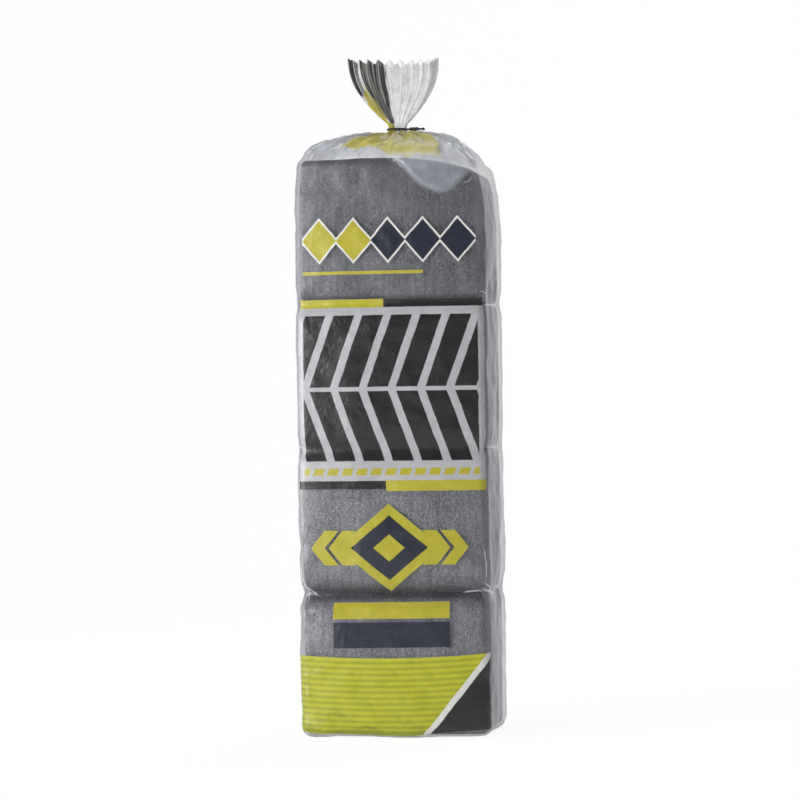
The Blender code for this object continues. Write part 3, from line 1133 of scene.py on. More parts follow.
@dataclass
class WoolPad:
    """One pad: a ribbon of wool folded and wound flat, seen from outside."""

    tier: int
    row: int
    end_rounding: float = 2.6 * MM
    end_reach: float = 9.0 * MM
    end_squash: float = 0.07
    end_freedom: float = 0.6
    crowding: float = 0.3 * MM
    layers: float = 5.0
    groove: float = 1.5 * MM
    groove_width: float = 0.16
    outline_step: float = 1.5 * MM
    corner_share: float = 0.62
    swell_depth: float = 0.45 * MM
    swell_size: float = 17 * MM
    nap_depth: float = 0.16 * MM
    nap_size: float = 3.2 * MM
    corner_drop: float = 8 * MM
    shown_density: float = 240000.0
    hidden_density: float = 120000.0
    strand_length: float = 4.2 * MM
    strand_thickness: float = 0.065 * MM

    def __post_init__(self) -> None:
        """Read the pad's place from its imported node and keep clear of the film."""
        self.node = f"pad_tier{self.tier}_row{self.row}"
        self.seed = self.tier * 10 + self.row
        low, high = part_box(self.node)
        low.x += FILM_AIR
        high.x -= FILM_AIR
        if self.row == FRONT_ROW:
            low.y += FILM_AIR
        if self.row == BACK_ROW:
            high.y -= FILM_AIR
        if self.tier == max(TIERS):
            high.z -= FILM_AIR
        else:
            high.z += self.crowding
        if self.tier > min(TIERS):
            low.z -= self.crowding
        if self.row > FRONT_ROW:
            low.y -= self.crowding
        if self.row < BACK_ROW:
            high.y += self.crowding
        self.low = low
        self.high = high
        self.corner = (high.y - low.y) / 2 * self.corner_share
        self.faced = self.row in (FRONT_ROW, BACK_ROW)

    def mesh(self, form: StackForm, garden: StrandGarden) -> bpy.types.Mesh:
        """The pad with its loose strands, pressed flat by the film.

        Args:
            form: how the stack presses the pad.
            garden: what lays the strands.

        Returns:
            The pad's mesh.
        """
        density = self.shown_density if self.faced else self.hidden_density
        grown = garden.grown(self.body(form), self.node, density, self.strand_length,
                             self.strand_thickness, self.seed)
        press_flat(grown, self.low, self.high)
        return grown

    def body(self, form: StackForm) -> bpy.types.Mesh:
        """The wound body: a wide face each way and the ribbon's layers at the ends.

        Args:
            form: how the stack presses the pad.

        Returns:
            The body's mesh, closed, with its attributes.
        """
        centre = (self.low + self.high) / 2
        half = (self.high - self.low) / 2
        girth = outline_length(half.y, half.z, self.corner)
        columns = round(girth / self.outline_step)
        distances = np.arange(columns) * girth / columns
        stations = self._stations(half)
        rows = np.empty((len(stations), columns, 3))
        sheet = np.empty((len(stations), columns + 1, 2))
        inward = np.array([station[1] for station in stations])
        for k, (x, inset) in enumerate(stations):
            ring = self._ring(x, inset, half, distances, girth)
            rows[k] = np.stack([np.full(columns, x), ring[:, 0], ring[:, 1]], axis=-1)
            sheet[k, :, 0] = x + math.copysign(inset, x)
            sheet[k, :, 1] = np.arange(columns + 1) * girth / columns
        sunk = self._sunk(rows, inward, half, distances / girth)
        rows[:, :, 0] -= np.sign(rows[:, :, 0]) * sunk
        rows += np.array(centre)
        flat = rows.reshape(-1, 3)
        normals = self._normals(rows)
        swell = self.swell_depth * ripple(flat, self.swell_size, 2, self.seed)
        swell = swell + self.nap_depth * ripple(flat, self.nap_size, 2, self.seed)
        flat += normals * (swell - 0.25 * MM)[:, None]
        depth = self._depth(flat, form)
        rows = form.pressed(rows, self.corner_drop)
        mesh = loft(self.node, rows, sheet, capped=True)
        point_attribute(mesh, "open_side", self._open(normals))
        # The "depth" attribute carries the painted shade of the folds and seams.
        point_attribute(mesh, "depth", depth)
        return mesh

    def _ring(self, x: float, inset: float, half: Vector, distances: np.ndarray,
              girth: float) -> np.ndarray:
        """One ring of the body, squashed a little towards the ends.

        Args:
            x: the ring's place from the middle of the pad.
            inset: how far it is drawn in.
            half: half the pad's sizes.
            distances: how far round each point lies on the widest ring.
            girth: the widest ring's girth.

        Returns:
            The ring, as rows of y and z.
        """
        near_end = max(0.0, abs(x) - half.x + self.end_reach) / self.end_reach
        squash = 1.0 - self.end_squash * near_end ** 2
        tall = (half.z - inset) * (1.0 - (1.0 - squash) * 0.1)
        deep = max((half.y - inset) * squash, 0.15 * MM)
        radius = max(min(self.corner - inset * 0.4, deep * 0.98), 0.1 * MM)
        around = distances * outline_length(deep, tall, radius) / girth
        ring, _ = rounded_outline(around, deep, tall, radius)
        return self._crowded(ring, deep, tall, 1.0 - self.end_freedom * near_end)

    def _sunk(self, rows: np.ndarray, inward: np.ndarray, half: Vector,
              turns: np.ndarray) -> np.ndarray:
        """How deep the winding's lines are sunk in the two ends.

        Args:
            rows: the rings' points about the middle of the pad.
            inward: how far each ring is drawn in.
            half: half the pad's sizes.
            turns: how far round each point lies, from 0 to 1.

        Returns:
            The depth at each point.
        """
        pitch = half.y / (self.layers / 2)
        winding = inward[:, None] / pitch + turns[None, :]
        seam = np.abs((winding + 0.5) % 1.0 - 0.5)
        at_end = np.abs(rows[:, :, 0]) > half.x - 0.4 * self.end_rounding
        at_end = at_end & (inward[:, None] > 1.5 * MM)
        return self.groove * np.exp(-(seam / self.groove_width) ** 2) * at_end

    def _depth(self, points: np.ndarray, form: StackForm) -> np.ndarray:
        """How far in each point lies, from 0 on the stack's faces to 1 deep in a fold, which the
        wool's colour shows as painted shade.

        Args:
            points: the body's points, before the stack is pressed.
            form: how the stack presses the pad.

        Returns:
            One value for each point.
        """
        reach = 6.0 * MM
        depth = np.minimum(points[:, 0] - self.low.x, self.high.x - points[:, 0]) * 1.6
        if self.row == FRONT_ROW:
            depth = np.minimum(depth, points[:, 1] - self.low.y)
        if self.row == BACK_ROW:
            depth = np.minimum(depth, self.high.y - points[:, 1])
        if self.tier == max(TIERS):
            depth = np.minimum(depth, self.high.z - points[:, 2])
        # Painted shade along the seams between the tiers.
        fold = np.zeros(len(points))
        for seam, waist in zip(form.seams, form.waists):
            lean = np.where(points[:, 2] > seam, 6.5 * MM, 4.2 * MM)
            fold = np.maximum(fold, 9.0 * waist * np.exp(-((points[:, 2] - seam) / lean) ** 2))
        return np.clip(np.clip(depth / reach - 0.15, 0, 1) ** 0.8 + fold, 0, 1)

    def _crowded(self, ring: np.ndarray, deep: float, tall: float, share: float) -> np.ndarray:
        """A ring whose hidden corners are pressed square against the next pads.

        Args:
            ring: the ring, as rows of y and z.
            deep: half its depth.
            tall: half its height.
            share: how square it gets, from 0 at an end to 1 in the middle.

        Returns:
            The pressed ring.
        """
        square = np.clip(ring * 1.3, (-deep, -tall), (deep, tall))
        weight = np.full(len(ring), share)
        if self.faced:
            inner = 1.0 if self.row == FRONT_ROW else -1.0
            weight *= np.clip(ring[:, 0] * inner / (2 * MM), 0, 1)
        if self.tier == max(TIERS):
            weight *= ring[:, 1] < 0
        return ring + weight[:, None] * (square - ring)

    def _stations(self, half: Vector) -> list[tuple[float, float]]:
        """Each ring's place along X and how far it is drawn in, from end to end.

        Args:
            half: half the pad's sizes.

        Returns:
            Pairs of a place and an inset.
        """
        inner = half.y * 0.97
        cap = np.linspace(inner, self.end_rounding, 11)[:-1]
        rim = [(1 - math.cos(a), math.sin(a)) for a in np.radians((90, 60, 30, 0))]
        flat_length = 2 * (half.x - self.end_rounding)
        step = 1.6 * MM if self.faced else 6.0 * MM
        count = max(2, round(flat_length / step))
        start = -half.x
        stations = [(start, float(inset)) for inset in cap]
        stations += [
            (start + self.end_rounding * (1 - s), self.end_rounding * c) for c, s in rim
        ]
        stations += [
            (start + self.end_rounding + flat_length * k / count, 0.0) for k in range(1, count)
        ]
        stations += [(-x, inset) for x, inset in stations[:len(cap) + len(rim)][::-1]]
        return stations

    @staticmethod
    def _normals(rows: np.ndarray) -> np.ndarray:
        """Outward normals at the points of closed rows.

        Args:
            rows: points, as rows by columns by x, y and z.

        Returns:
            One normal for each point.
        """
        around = np.roll(rows, -1, axis=1) - np.roll(rows, 1, axis=1)
        along = np.gradient(rows, axis=0)
        normals = np.cross(around, along).reshape(-1, 3)
        return normals / np.maximum(np.linalg.norm(normals, axis=1, keepdims=True), 1e-9)

    def _open(self, normals: np.ndarray) -> np.ndarray:
        """Which points face out of the stack, where loose strands can show.

        Args:
            normals: one normal for each point.

        Returns:
            1 for each such point and 0 for the others.
        """
        out = np.abs(normals[:, 0]) > 0.5
        if self.row == FRONT_ROW:
            out |= normals[:, 1] < -0.25
        if self.row == BACK_ROW:
            out |= normals[:, 1] > 0.25
        if self.tier == max(TIERS):
            out |= normals[:, 2] > 0.4
        return out.astype(float)


@dataclass
class FilmBag:
    """The bag: one sheet of film from the middle of its base to the fan's mouth."""

    form: StackForm
    columns: int = 384
    skin: float = 0.1 * MM
    mouth_drop: float = 2.6 * MM
    corner: float = 4.6 * MM
    edge: float = 5.5 * MM
    body_step: float = 2.1 * MM
    fine_step: float = 1.2 * MM
    fine_band: float = 36 * MM
    base_rings: int = 9
    dome_rings: int = 36
    neck_rings: int = 8
    fan_rings: int = 34
    swell_size: float = 27 * MM
    swell_height: float = 0.45 * MM
    crease_size: float = 21 * MM
    crease_height: float = 0.35 * MM
    skirt_height: float = 1.1 * MM
    skirt_place: float = 1.0 * MM
    skirt_reach: float = 2.4 * MM
    valleys: tuple[float, ...] = (2.4 * MM, 1.2 * MM, 1.2 * MM)
    valley_reach: float = 3.6 * MM
    corner_folds: tuple[float, ...] = (1.0, 0.25, 0.20)
    ray_height: float = 0.75 * MM
    ray_reach: float = 9 * MM
    ray_eye: float = 3 * MM
    dent_depth: float = 1.6 * MM
    dent_reach: float = 5 * MM
    crumple_size: float = 9 * MM
    crumple_height: float = 0.8 * MM
    pleats: int = 24
    neck_radius: float = 4.4 * MM
    fan_half_width: float = 22.5 * MM
    fan_half_depth: float = 9.0 * MM
    fan_twist: float = math.radians(-50)
    dome_length: float = 42.0 * MM
    fan_length: float = 37.0 * MM
    neck_height: float = 6.4 * MM
    neck_flare: float = 0.8 * MM
    base_gap: float = 0.35 * MM
    flap_middle: float = 28 * MM
    flap_drop: float = 19 * MM
    flap_stand: float = 2.2 * MM
    fold_count: int = 9

    def __post_init__(self) -> None:
        """Read the bag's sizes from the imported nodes."""
        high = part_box("film_bag")[1]
        self.half_width = high.x - self.skin
        self.half_depth = high.y - self.skin
        self.fan_top = high.z - self.mouth_drop
        tie_low, tie_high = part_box("neck_tie")
        self.tie_height = (tie_low.z + tie_high.z) / 2
        self.film_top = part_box("pad_tier4_row1")[1].z + FILM_AIR
        self.girth = outline_length(self.half_width, self.half_depth, self.corner)
        self.u = (np.arange(self.columns + 1) / self.columns - 0.5) * self.girth

    def _ring(self, inset: float, height: float, radius: float) -> Ring:
        """A level ring round the stack.

        Args:
            inset: how far it is drawn in.
            height: how high it lies.
            radius: its corner radius.

        Returns:
            Its points and its outward normals.
        """
        half_width = max(self.half_width - inset, 0.2 * MM)
        half_depth = max(self.half_depth - inset, 0.05 * MM)
        radius = min(radius, half_depth * 0.98)
        whole = outline_length(half_width, half_depth, radius)
        distances = (self.u[:-1] / self.girth % 1.0) * whole
        points, normals = rounded_outline(distances, half_width, half_depth, radius)
        level = np.full(self.columns, height)
        flat = np.zeros(self.columns)
        return np.column_stack([points, level]), np.column_stack([normals, flat])

    def _gather(self, half_width: float, half_depth: float, lean: float, height: float,
                twist: float) -> Ring:
        """A ring of gathered film round the neck or the fan.

        Args:
            half_width: half its size along X.
            half_depth: half its size along Y.
            lean: how far its middle lies off the axis.
            height: how high it lies.
            twist: how far it is turned.

        Returns:
            Its points and its outward normals.
        """
        turn = self.u[:-1] / self.girth * 2 * math.pi - math.pi / 2 + twist
        points = np.column_stack([
            lean + half_width * np.cos(turn), half_depth * np.sin(turn),
            np.full(self.columns, height),
        ])
        normals = np.column_stack([
            half_depth * np.cos(turn), half_width * np.sin(turn), np.zeros(self.columns),
        ])
        return points, normals / np.linalg.norm(normals, axis=1, keepdims=True)

    def _rows(self) -> tuple[np.ndarray, np.ndarray, np.ndarray, np.ndarray]:
        """Rings from the middle of the base to the mouth.

        Returns:
            Points, normals, the height of each ring along the film and how far
            each ring is gathered, from 0 on the body to 1 at the mouth.
        """
        points, normals, heights, gathered = [], [], [], []

        def add(ring: Ring, tilt: float, height: float, gather: float) -> None:
            """Keep a ring.

            Args:
                ring: its points and its level normals.
                tilt: how far its normals point up.
                height: its place up the film.
                gather: how far it is gathered.
            """
            flat = ring[1] * math.cos(tilt)
            flat[:, 2] = math.sin(tilt)
            points.append(ring[0])
            normals.append(flat)
            heights.append(height)
            gathered.append(gather)

        for inset in np.linspace(self.half_depth, self.edge, self.base_rings)[:-1]:
            ring = self._ring(inset, self.base_gap, self.corner)
            add(ring, -math.pi / 2, -(inset - self.edge), 0.0)
        for angle in np.radians((90, 67, 45, 22)):
            inset = self.edge * (1 - math.cos(angle))
            height = self.edge * (1 - math.sin(angle)) + self.base_gap
            add(self._ring(inset, height, self.corner), -angle, height * 0.8, 0.0)
        foot = self.edge + self.base_gap
        shoulder = self.film_top - self.edge
        loose = shoulder - self.fine_band
        count = round((loose - foot) / self.body_step)
        for height in np.linspace(foot, loose, count + 1)[:-1]:
            add(self._ring(0.0, height, self.corner), 0.0, height, 0.0)
        count = round((shoulder - loose) / self.fine_step)
        for height in np.linspace(loose, shoulder, count + 1):
            add(self._ring(0.0, height, self.corner), 0.0, height, 0.0)
        for angle in np.radians((20, 40)):
            inset = self.edge * (1 - math.cos(angle))
            height = shoulder + self.edge * math.sin(angle)
            add(self._ring(inset, height, self.corner), angle, height, 0.0)
        self._add_dome(add)
        self._add_neck_and_fan(add)
        return np.array(points), np.array(normals), np.array(heights), np.array(gathered)

    def _add_dome(self, add: AddRing) -> None:
        """The film over the top tier, drawn in towards the neck.

        Args:
            add: keeps a ring.
        """
        inset = self.edge * 0.5
        first, normals = self._ring(inset, 0.0, self.corner)
        start = self.film_top - self.edge * (1 - math.sin(math.radians(60)))
        waist = self.tie_height - self.neck_height / 2
        end = self.neck_radius + self.neck_flare
        for share in np.linspace(0.0, 1.0, self.dome_rings):
            inward = share ** 1.15
            twist = self.fan_twist * inward ** 2 * 0.55
            goal, goal_normals = self._gather(end, end, 0.0, 0.0, twist)
            rise = math.sin(math.pi / 2 * inward ** 0.62)
            ring = first * (1 - inward) + goal * inward
            ring[:, 2] = start + (waist - start) * rise
            lean = normals * (1 - inward) + goal_normals * inward
            lean /= np.maximum(np.linalg.norm(lean, axis=1, keepdims=True), 1e-6)
            tilt = math.radians(60 + 25 * inward) if share < 0.93 else math.radians(50)
            height = self.film_top + self.dome_length * share
            add((ring, lean), tilt, height, 0.02 + 0.5 * inward)

    def _add_neck_and_fan(self, add: AddRing) -> None:
        """The neck under the tie and the fan of film above it.

        Args:
            add: keeps a ring.
        """
        base = self.film_top + self.dome_length
        for share in np.linspace(0.0, 1.0, self.neck_rings)[1:]:
            squeeze = abs(share - 0.5) * 2
            radius = self.neck_radius + self.neck_flare * squeeze ** 2
            level = self.tie_height + (share - 0.5) * self.neck_height
            twist = self.fan_twist * (0.55 + 0.45 * share)
            add(self._gather(radius, radius, 0.0, level, twist), 0.0,
                base + self.neck_height * share, 0.5)
        foot = self.tie_height + self.neck_height / 2
        start = self.neck_radius + self.neck_flare
        length = self.fan_top - foot
        for share in np.linspace(0.0, 1.0, self.fan_rings)[1:]:
            spread = math.sin(min(share / 0.92, 1.0) * math.pi / 2) ** 0.9
            ring = self._gather(
                start + (self.fan_half_width - start) * spread,
                start + (self.fan_half_depth - start) * spread,
                -2.0 * MM * share, foot + length * share, self.fan_twist)
            height = base + self.neck_height + self.fan_length * share
            add(ring, 0.0, height, 0.5 + 0.5 * share)

    def _pleat(self, irregular: np.ndarray) -> np.ndarray:
        """The pleats' wave round the bag, from -1 to 1, with sharp folds."""
        phase = self.u[:-1] / self.girth * 2 * math.pi * self.pleats + irregular
        return 2 / math.pi * np.arcsin(0.985 * np.sin(phase))

    def _offsets(self, points: np.ndarray, normals: np.ndarray, heights: np.ndarray,
                 gathered: np.ndarray) -> tuple[np.ndarray, np.ndarray]:
        """How far the film stands off its smooth form, and how milky it looks, with painted sheen
        on the ridges of its folds.

        Args:
            points: the smooth form, as rings by columns by x, y and z.
            normals: its normals.
            heights: each ring's place up the film.
            gathered: how far each ring is gathered.

        Returns:
            The stand-off, and the milkiness with its painted sheen, at each point.
        """
        u = self.u[:-1][None, :]
        v = heights[:, None]
        facing = np.abs(normals[:, :, 1])
        beside = np.abs(normals[:, :, 0])
        shape = points.shape[:2]
        flat = points.reshape(-1, 3)
        on_body = (heights > 2 * MM) & (heights < self.film_top - 2 * MM)
        on_body = on_body.astype(float)[:, None]
        swell = ripple(flat, self.swell_size, 2, 3).reshape(shape)
        crease = ripple(flat * (1.0, 1.0, 1.7), self.crease_size, 2, 5).reshape(shape)
        crease = 1 - 2 * np.abs(crease)
        offset = on_body * (self.swell_height * swell + self.crease_height * (crease - 0.5))
        haze_and_sheen = 0.05 + 0.24 * beside * on_body + 0.08 * swell.clip(0, 1)
        skirt = np.exp(-((v - self.skirt_place) / self.skirt_reach) ** 2)
        skirt = skirt * np.clip(0.5 + 1.5 * swell, 0, 1.4)
        skirt = skirt * (heights > -2 * MM)[:, None]
        offset += self.skirt_height * skirt
        haze_and_sheen += 0.30 * skirt
        across_side = np.cos(np.clip(points[:, :, 1] / self.half_depth, -1, 1) * math.pi / 2)
        offset += on_body * beside * across_side * (0.9 + 0.8 * swell) * MM
        for k, seam in enumerate(self.form.seams):
            near = np.exp(-((v - seam) / self.valley_reach) ** 2)
            offset -= near * self.valleys[k] * (facing + 0.2 * beside)
            haze_and_sheen += 0.28 * near * beside * on_body
            for side in range(4):
                rays, dent = self._corner_rays(u, v - seam, side, 2.1 * k + side)
                offset += self.corner_folds[k] * (self.ray_height * rays - self.dent_depth * dent)
                # Painted sheen: whiter along the ridges of the corner rays.
                haze_and_sheen += 0.35 * self.corner_folds[k] * np.clip(rays, 0, 1)
        offset, haze_and_sheen = self._flap(u, v, offset, haze_and_sheen)
        return self._pleated(points, v, gathered[:, None], offset, haze_and_sheen)

    def _corner_rays(self, u: np.ndarray, dv: np.ndarray, side: int,
                     phase: float) -> tuple[np.ndarray, np.ndarray]:
        """The folds that run out from a waist's corner like rays.

        Args:
            u: the place round the bag.
            dv: the height above the waist's seam.
            side: which corner: 0 and 1 at the front, 2 and 3 at the back.
            phase: how the rays are turned.

        Returns:
            The rays from -1 to 1, and the dent in their middle from 0 to 1.
        """
        quarter = 1 if side % 2 else -1
        along = quarter * (self.half_width - self.corner * 0.2)
        if side > 1:
            along = quarter * (self.girth / 2 - self.half_width + self.corner * 0.2)
        du = u - along
        reach = np.hypot(du, dv)
        angle = np.arctan2(dv, du)
        rays = np.cos(self.fold_count * angle + phase) * np.exp(-reach / self.ray_reach)
        rays *= 1 - np.exp(-(reach / self.ray_eye) ** 2)
        return rays, np.exp(-(reach / self.dent_reach) ** 2)

    def _pleated(self, points: np.ndarray, v: np.ndarray, gather: np.ndarray,
                 offset: np.ndarray, haze_and_sheen: np.ndarray) -> tuple[np.ndarray, np.ndarray]:
        """Add the pleats and the crumples of the dome, the neck and the fan, with painted sheen
        along their ridges.

        Args:
            points: the smooth form.
            v: the place up the film.
            gather: how far each ring is gathered.
            offset: the stand-off so far.
            haze_and_sheen: the milkiness and the painted sheen so far.

        Returns:
            The stand-off, and the milkiness with its painted sheen, from 0 to 1.
        """
        shape = points.shape[:2]
        flat = points.reshape(-1, 3)
        wander = ripple(flat, 30 * MM, 1, 9).reshape(shape)
        pleat = self._pleat(1.6 * wander)
        stops = [0.0, 0.1, 0.42, 0.5, 0.52, 1.0]
        reach = np.interp(gather, stops, [0, 0.5, 1.7, 0.45, 0.5, 2.5]) * MM
        offset += reach * pleat * (1.0 + 0.35 * wander)
        shoulder = self.film_top - 6.0 * MM + 3.0 * MM * wander
        on_top = np.clip((v - shoulder) / (7.0 * MM), 0, 1) ** 1.5
        crumple = 1 - 2 * np.abs(ripple(flat, self.crumple_size, 2, 13).reshape(shape))
        offset += on_top * (gather < 0.5) * self.crumple_height * (crumple - 0.4)
        # Painted highlights: whiter along the ridges of the pleats and the crumples.
        ridge = np.clip(pleat * 1.4 - 0.4, 0, 1) ** 1.5
        haze_and_sheen += on_top * (0.15 + 0.48 * ridge + 0.26 * np.clip(crumple, 0, 1) ** 2)
        return offset, np.clip(haze_and_sheen, 0, 1)

    def _flap(self, u: np.ndarray, v: np.ndarray, offset: np.ndarray,
              haze_and_sheen: np.ndarray) -> tuple[np.ndarray, np.ndarray]:
        """The loose flap of film that hangs from the right shoulder of the front.

        Args:
            u: the place round the bag.
            v: the place up the film.
            offset: the stand-off so far.
            haze_and_sheen: the milkiness and the painted sheen so far.

        Returns:
            The stand-off, and the milkiness with its painted sheen.
        """
        width = np.where(u < self.flap_middle, 17.5 * MM, 19 * MM)
        drop = self.flap_drop * np.exp(-np.abs((u - self.flap_middle) / width) ** 2.4)
        hem = self.film_top - 2 * MM - drop
        hem = hem + 0.35 * MM * np.sin(u / (2.9 * MM)) + 0.2 * MM * np.sin(u / (1.7 * MM) + 1)
        front = np.clip((53 * MM - np.abs(u)) / (5 * MM), 0, 1)
        above = v - hem
        inside = front * np.clip(above / (2.5 * MM), 0, 1)
        inside = inside * np.clip((330 * MM - v) / (25 * MM), 0, 1)
        corner = front * np.clip((u - 43.5 * MM) / (5 * MM), 0, 1) ** 1.5
        corner = corner * np.clip((v - 228 * MM) / (45 * MM), 0, 1)
        corner = corner * np.clip((312 * MM - v) / (14 * MM), 0, 1)
        offset = offset + self.flap_stand * inside
        rim = front * np.exp(-((above - 0.9 * MM) / (0.9 * MM)) ** 2)
        haze_and_sheen = haze_and_sheen + np.maximum(0.88 * inside, 0.42 * corner) + 0.32 * rim
        return offset, haze_and_sheen

    def mesh(self) -> bpy.types.Mesh:
        """The bag's mesh, with the film's flat place as its UV map.

        Returns:
            The mesh, open at the mouth.
        """
        points, normals, heights, gathered = self._rows()
        offset, haze_and_sheen = self._offsets(points, normals, heights, gathered)
        rows = points + normals * offset[:, :, None]
        wander = ripple(rows[-1], 12 * MM, 1, 21)
        sag = 1.6 * MM * (1 - (rows[-1, :, 0] / self.fan_half_width) ** 2)
        zigzag = 1.4 * MM * self._pleat(np.zeros(self.columns)) + 0.9 * MM * wander - sag
        mouth = np.clip((heights - heights[-1]) / (8 * MM) + 1, 0, 1)
        rows[:, :, 2] += mouth[:, None] ** 2 * zigzag[None, :]
        rows = self.form.pressed(rows, 2 * MM)
        rows[:, :, 2] = np.maximum(rows[:, :, 2], 0.05 * MM)
        sheet = np.stack(np.meshgrid(self.u, heights), axis=-1)
        mesh = loft("film_bag", rows, sheet)
        point_attribute(mesh, "haze_and_sheen", haze_and_sheen)
        point_attribute(mesh, "gather", np.repeat(gathered, self.columns))
        self._add_bake_map(mesh, heights)
        return mesh

    def _add_bake_map(self, mesh: bpy.types.Mesh, heights: np.ndarray) -> None:
        """Add a second UV map that fits the whole flat film in one square.

        Args:
            mesh: the bag's mesh, which is changed.
            heights: each ring's place up the film.
        """
        source = mesh.uv_layers["sheet"]
        flat = np.empty(len(source.data) * 2, np.float32)
        source.data.foreach_get("uv", flat)
        flat = flat.reshape(-1, 2)
        span = max(self.girth, heights[-1] - heights[0])
        flat[:, 0] = 0.01 + 0.98 * (flat[:, 0] + self.girth / 2) / span
        flat[:, 1] = 0.01 + 0.98 * (flat[:, 1] - heights[0]) / span
        layer = mesh.uv_layers.new(name="OFBake")
        layer.data.foreach_set("uv", flat.ravel())


@dataclass
class NeckTie:
    """A coated wire once round the neck, with its ends twisted together."""

    wire: float = 0.5 * MM
    turns: float = 1.5
    twist_share: float = 0.6
    ends: float = 3.0 * MM

    def path(self) -> list[Vector]:
        """The wire's middle line.

        Returns:
            Points from one end, round the neck, to the other.
        """
        low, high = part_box("neck_tie")
        height = (low.z + high.z) / 2
        loop = (high.y - low.y) / 2 - self.wire
        helix = (high.z - low.z) / 2 - self.wire
        start = loop + helix + self.wire
        length = (high.x - self.wire - self.ends - start) * self.twist_share
        strand = []
        for share in np.linspace(0.0, 1.0, 33):
            angle = 2 * math.pi * self.turns * share + math.pi / 2
            side, up = helix * math.sin(angle), helix * math.cos(angle)
            strand.append(Vector((start + length * share, side, up)))
        last = strand[-1]
        strand.append(last + Vector((0.6 * self.ends, 0.25 * self.ends, 0.02 * self.ends)))
        strand.append(last + Vector((self.ends, 0.55 * self.ends, -0.1 * self.ends)))
        opposite = [Vector((p.x, -p.y, -p.z)) for p in strand]
        gap = math.asin(helix / loop) * 2.2
        ring = [
            Vector((loop * math.cos(a), loop * math.sin(a), 0.0))
            for a in np.linspace(gap, 2 * math.pi - gap, 40)
        ]
        lift = Vector((0.0, 0.0, height))
        return [p + lift for p in strand[::-1] + ring + opposite]

    def mesh(self) -> bpy.types.Mesh:
        """A round tube along the path.

        Returns:
            The wire's mesh, closed at its ends.
        """
        curve = bpy.data.curves.new("neck_tie", "CURVE")
        curve.dimensions = "3D"
        curve.bevel_depth = self.wire
        curve.bevel_resolution = 3
        curve.use_fill_caps = True
        spline = curve.splines.new("POLY")
        path = self.path()
        spline.points.add(len(path) - 1)
        for slot, point in zip(spline.points, path):
            slot.co = (*point, 1.0)
        carrier = bpy.data.objects.new("carrier", curve)
        bpy.context.scene.collection.objects.link(carrier)
        depsgraph = bpy.context.evaluated_depsgraph_get()
        mesh = bpy.data.meshes.new_from_object(carrier.evaluated_get(depsgraph))
        mesh.name = "neck_tie"
        bpy.data.objects.remove(carrier)
        mesh.shade_smooth()
        return mesh


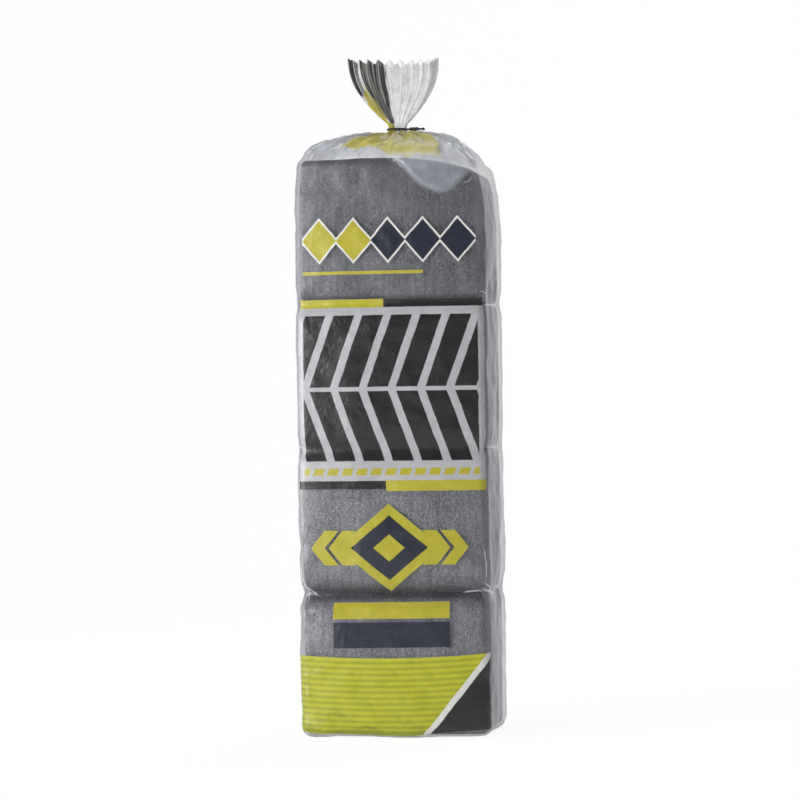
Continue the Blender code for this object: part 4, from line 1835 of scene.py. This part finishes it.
@dataclass
class Studio:
    """A white sweep, soft lamps and the camera at the photograph's angle."""

    azimuth: float = math.radians(9.0)
    distance: float = 1.6
    aim: tuple[float, float, float] = (-0.8 * MM, 0.0, 175 * MM)
    lean: float = math.radians(0.8)
    picture_width: float = 0.424
    sensor: float = 36.0
    floor_paint: Colour = (0.84, 0.84, 0.84, 1.0)
    floor_glow: float = 1.08
    floor_glow_share: float = 0.84
    room_light: float = 0.27
    room_white: float = 0.98

    def build(self) -> None:
        """Add the sweep, the lamps, the surroundings and the camera."""
        self._sweep()
        self._world()
        self._lamp("key", (-0.84, -0.70, 0.14), 0.80, 15.0)
        self._lamp("top", (-0.15, -0.08, 1.55), 0.8, 4.0)
        self._lamp("fill", (0.9, -1.5, 0.7), 0.9, 1.6)
        self._lamp("back", (0.5, 1.0, 1.3), 0.6, 6.0)
        self._camera()

    def _sweep(self) -> None:
        """The floor, curved up into a backdrop."""
        front, bend, radius, top, half_width = -2.5, 0.9, 0.6, 3.0, 3.0
        profile = [(front, 0.0), (bend, 0.0)]
        profile += [
            (bend + radius * math.sin(a), radius * (1 - math.cos(a)))
            for a in np.radians(range(10, 91, 10))
        ]
        profile += [(bend + radius, top)]
        points = [(x, y, z) for y, z in profile for x in (-half_width, half_width)]
        faces = [(2 * k, 2 * k + 1, 2 * k + 3, 2 * k + 2) for k in range(len(profile) - 1)]
        mesh = bpy.data.meshes.new("sweep")
        mesh.from_pydata(points, [], faces)
        mesh.shade_smooth()
        material, board = new_board("sweep")
        paint = board.node("ShaderNodeBsdfDiffuse", None, {"Color": self.floor_paint})
        glow = board.node("ShaderNodeEmission", None, {"Color": WHITE, "Strength": self.floor_glow})
        ray = board.node("ShaderNodeLightPath")
        camera, glossy, through = (
            Wire(board, ray.outputs[f"Is {kind} Ray"])
            for kind in ("Camera", "Glossy", "Transmission")
        )
        seen = camera.most(glossy).most(through)
        mixed = board.node("ShaderNodeMixShader", None, {
            0: seen * self.floor_glow_share, 1: paint.outputs[0], 2: glow.outputs[0],
        })
        board.surface(mixed)
        mesh.materials.append(material)
        sweep = bpy.data.objects.new("sweep", mesh)
        bpy.context.scene.collection.objects.link(sweep)

    def _world(self) -> None:
        """Even light from all round, which the camera sees as white."""
        world = bpy.data.worlds.new("room")
        world.use_nodes = True
        board = Board(world.node_tree)
        light, white = (
            board.node("ShaderNodeBackground", None, {"Color": WHITE, "Strength": strength})
            for strength in (self.room_light, self.room_white)
        )
        ray = board.node("ShaderNodeLightPath")
        mixed = board.node("ShaderNodeMixShader", None, {
            0: ray.outputs["Is Camera Ray"], 1: light.outputs[0], 2: white.outputs[0],
        })
        board.node("ShaderNodeOutputWorld", None, {"Surface": mixed.outputs[0]})
        bpy.context.scene.world = world

    def _lamp(self, name: str, place: tuple[float, float, float], size: float,
              power: float) -> None:
        """Add a square soft lamp that faces the middle of the pack.

        Args:
            name: the lamp's name.
            place: where it stands.
            size: the length of its side.
            power: its power in watts.
        """
        data = bpy.data.lights.new(name, "AREA")
        data.shape = "SQUARE"
        data.size = size
        data.energy = power
        lamp = bpy.data.objects.new(name, data)
        lamp.location = place
        towards = Vector(self.aim) - lamp.location
        lamp.rotation_euler = towards.to_track_quat("-Z", "Y").to_euler()
        bpy.context.scene.collection.objects.link(lamp)

    def _camera(self) -> None:
        """The camera, level with the middle of the pack and a little to its right."""
        data = bpy.data.cameras.new("camera")
        data.sensor_width = self.sensor
        data.lens = self.sensor * self.distance / self.picture_width
        camera = bpy.data.objects.new("camera", data)
        aim = Vector(self.aim)
        away = Vector((math.sin(self.azimuth), -math.cos(self.azimuth), 0.0))
        camera.location = aim + away * self.distance
        facing = (aim - camera.location).to_track_quat("-Z", "Y").to_matrix().to_4x4()
        turned = facing @ Matrix.Rotation(-self.lean, 4, "Z")
        camera.rotation_euler = turned.to_euler()
        bpy.context.scene.collection.objects.link(camera)
        bpy.context.scene.camera = camera
        bpy.context.scene.view_settings.view_transform = "Standard"


def main() -> None:
    """Build the pack's pieces and the studio in order."""
    logging.basicConfig(level=logging.INFO, format="%(name)s %(message)s")
    wool = WoolFinish().build()
    garden = StrandGarden(wool)
    form = StackForm()
    for tier in TIERS:
        for row in ROWS:
            pad = WoolPad(tier, row)
            mesh = pad.mesh(form, garden)
            piece = add_piece(f"wool_{pad.node}", mesh, wool, "steel_wool", pad.node)
    add_piece("printed_film", FilmBag(form).mesh(), FilmFinish().build(), "clear_film", "film_bag")
    add_piece("coated_tie", NeckTie().mesh(), TieFinish().build(), "tie_wire", "neck_tie")
    Studio().build()


if __name__ == "__main__":
    main()
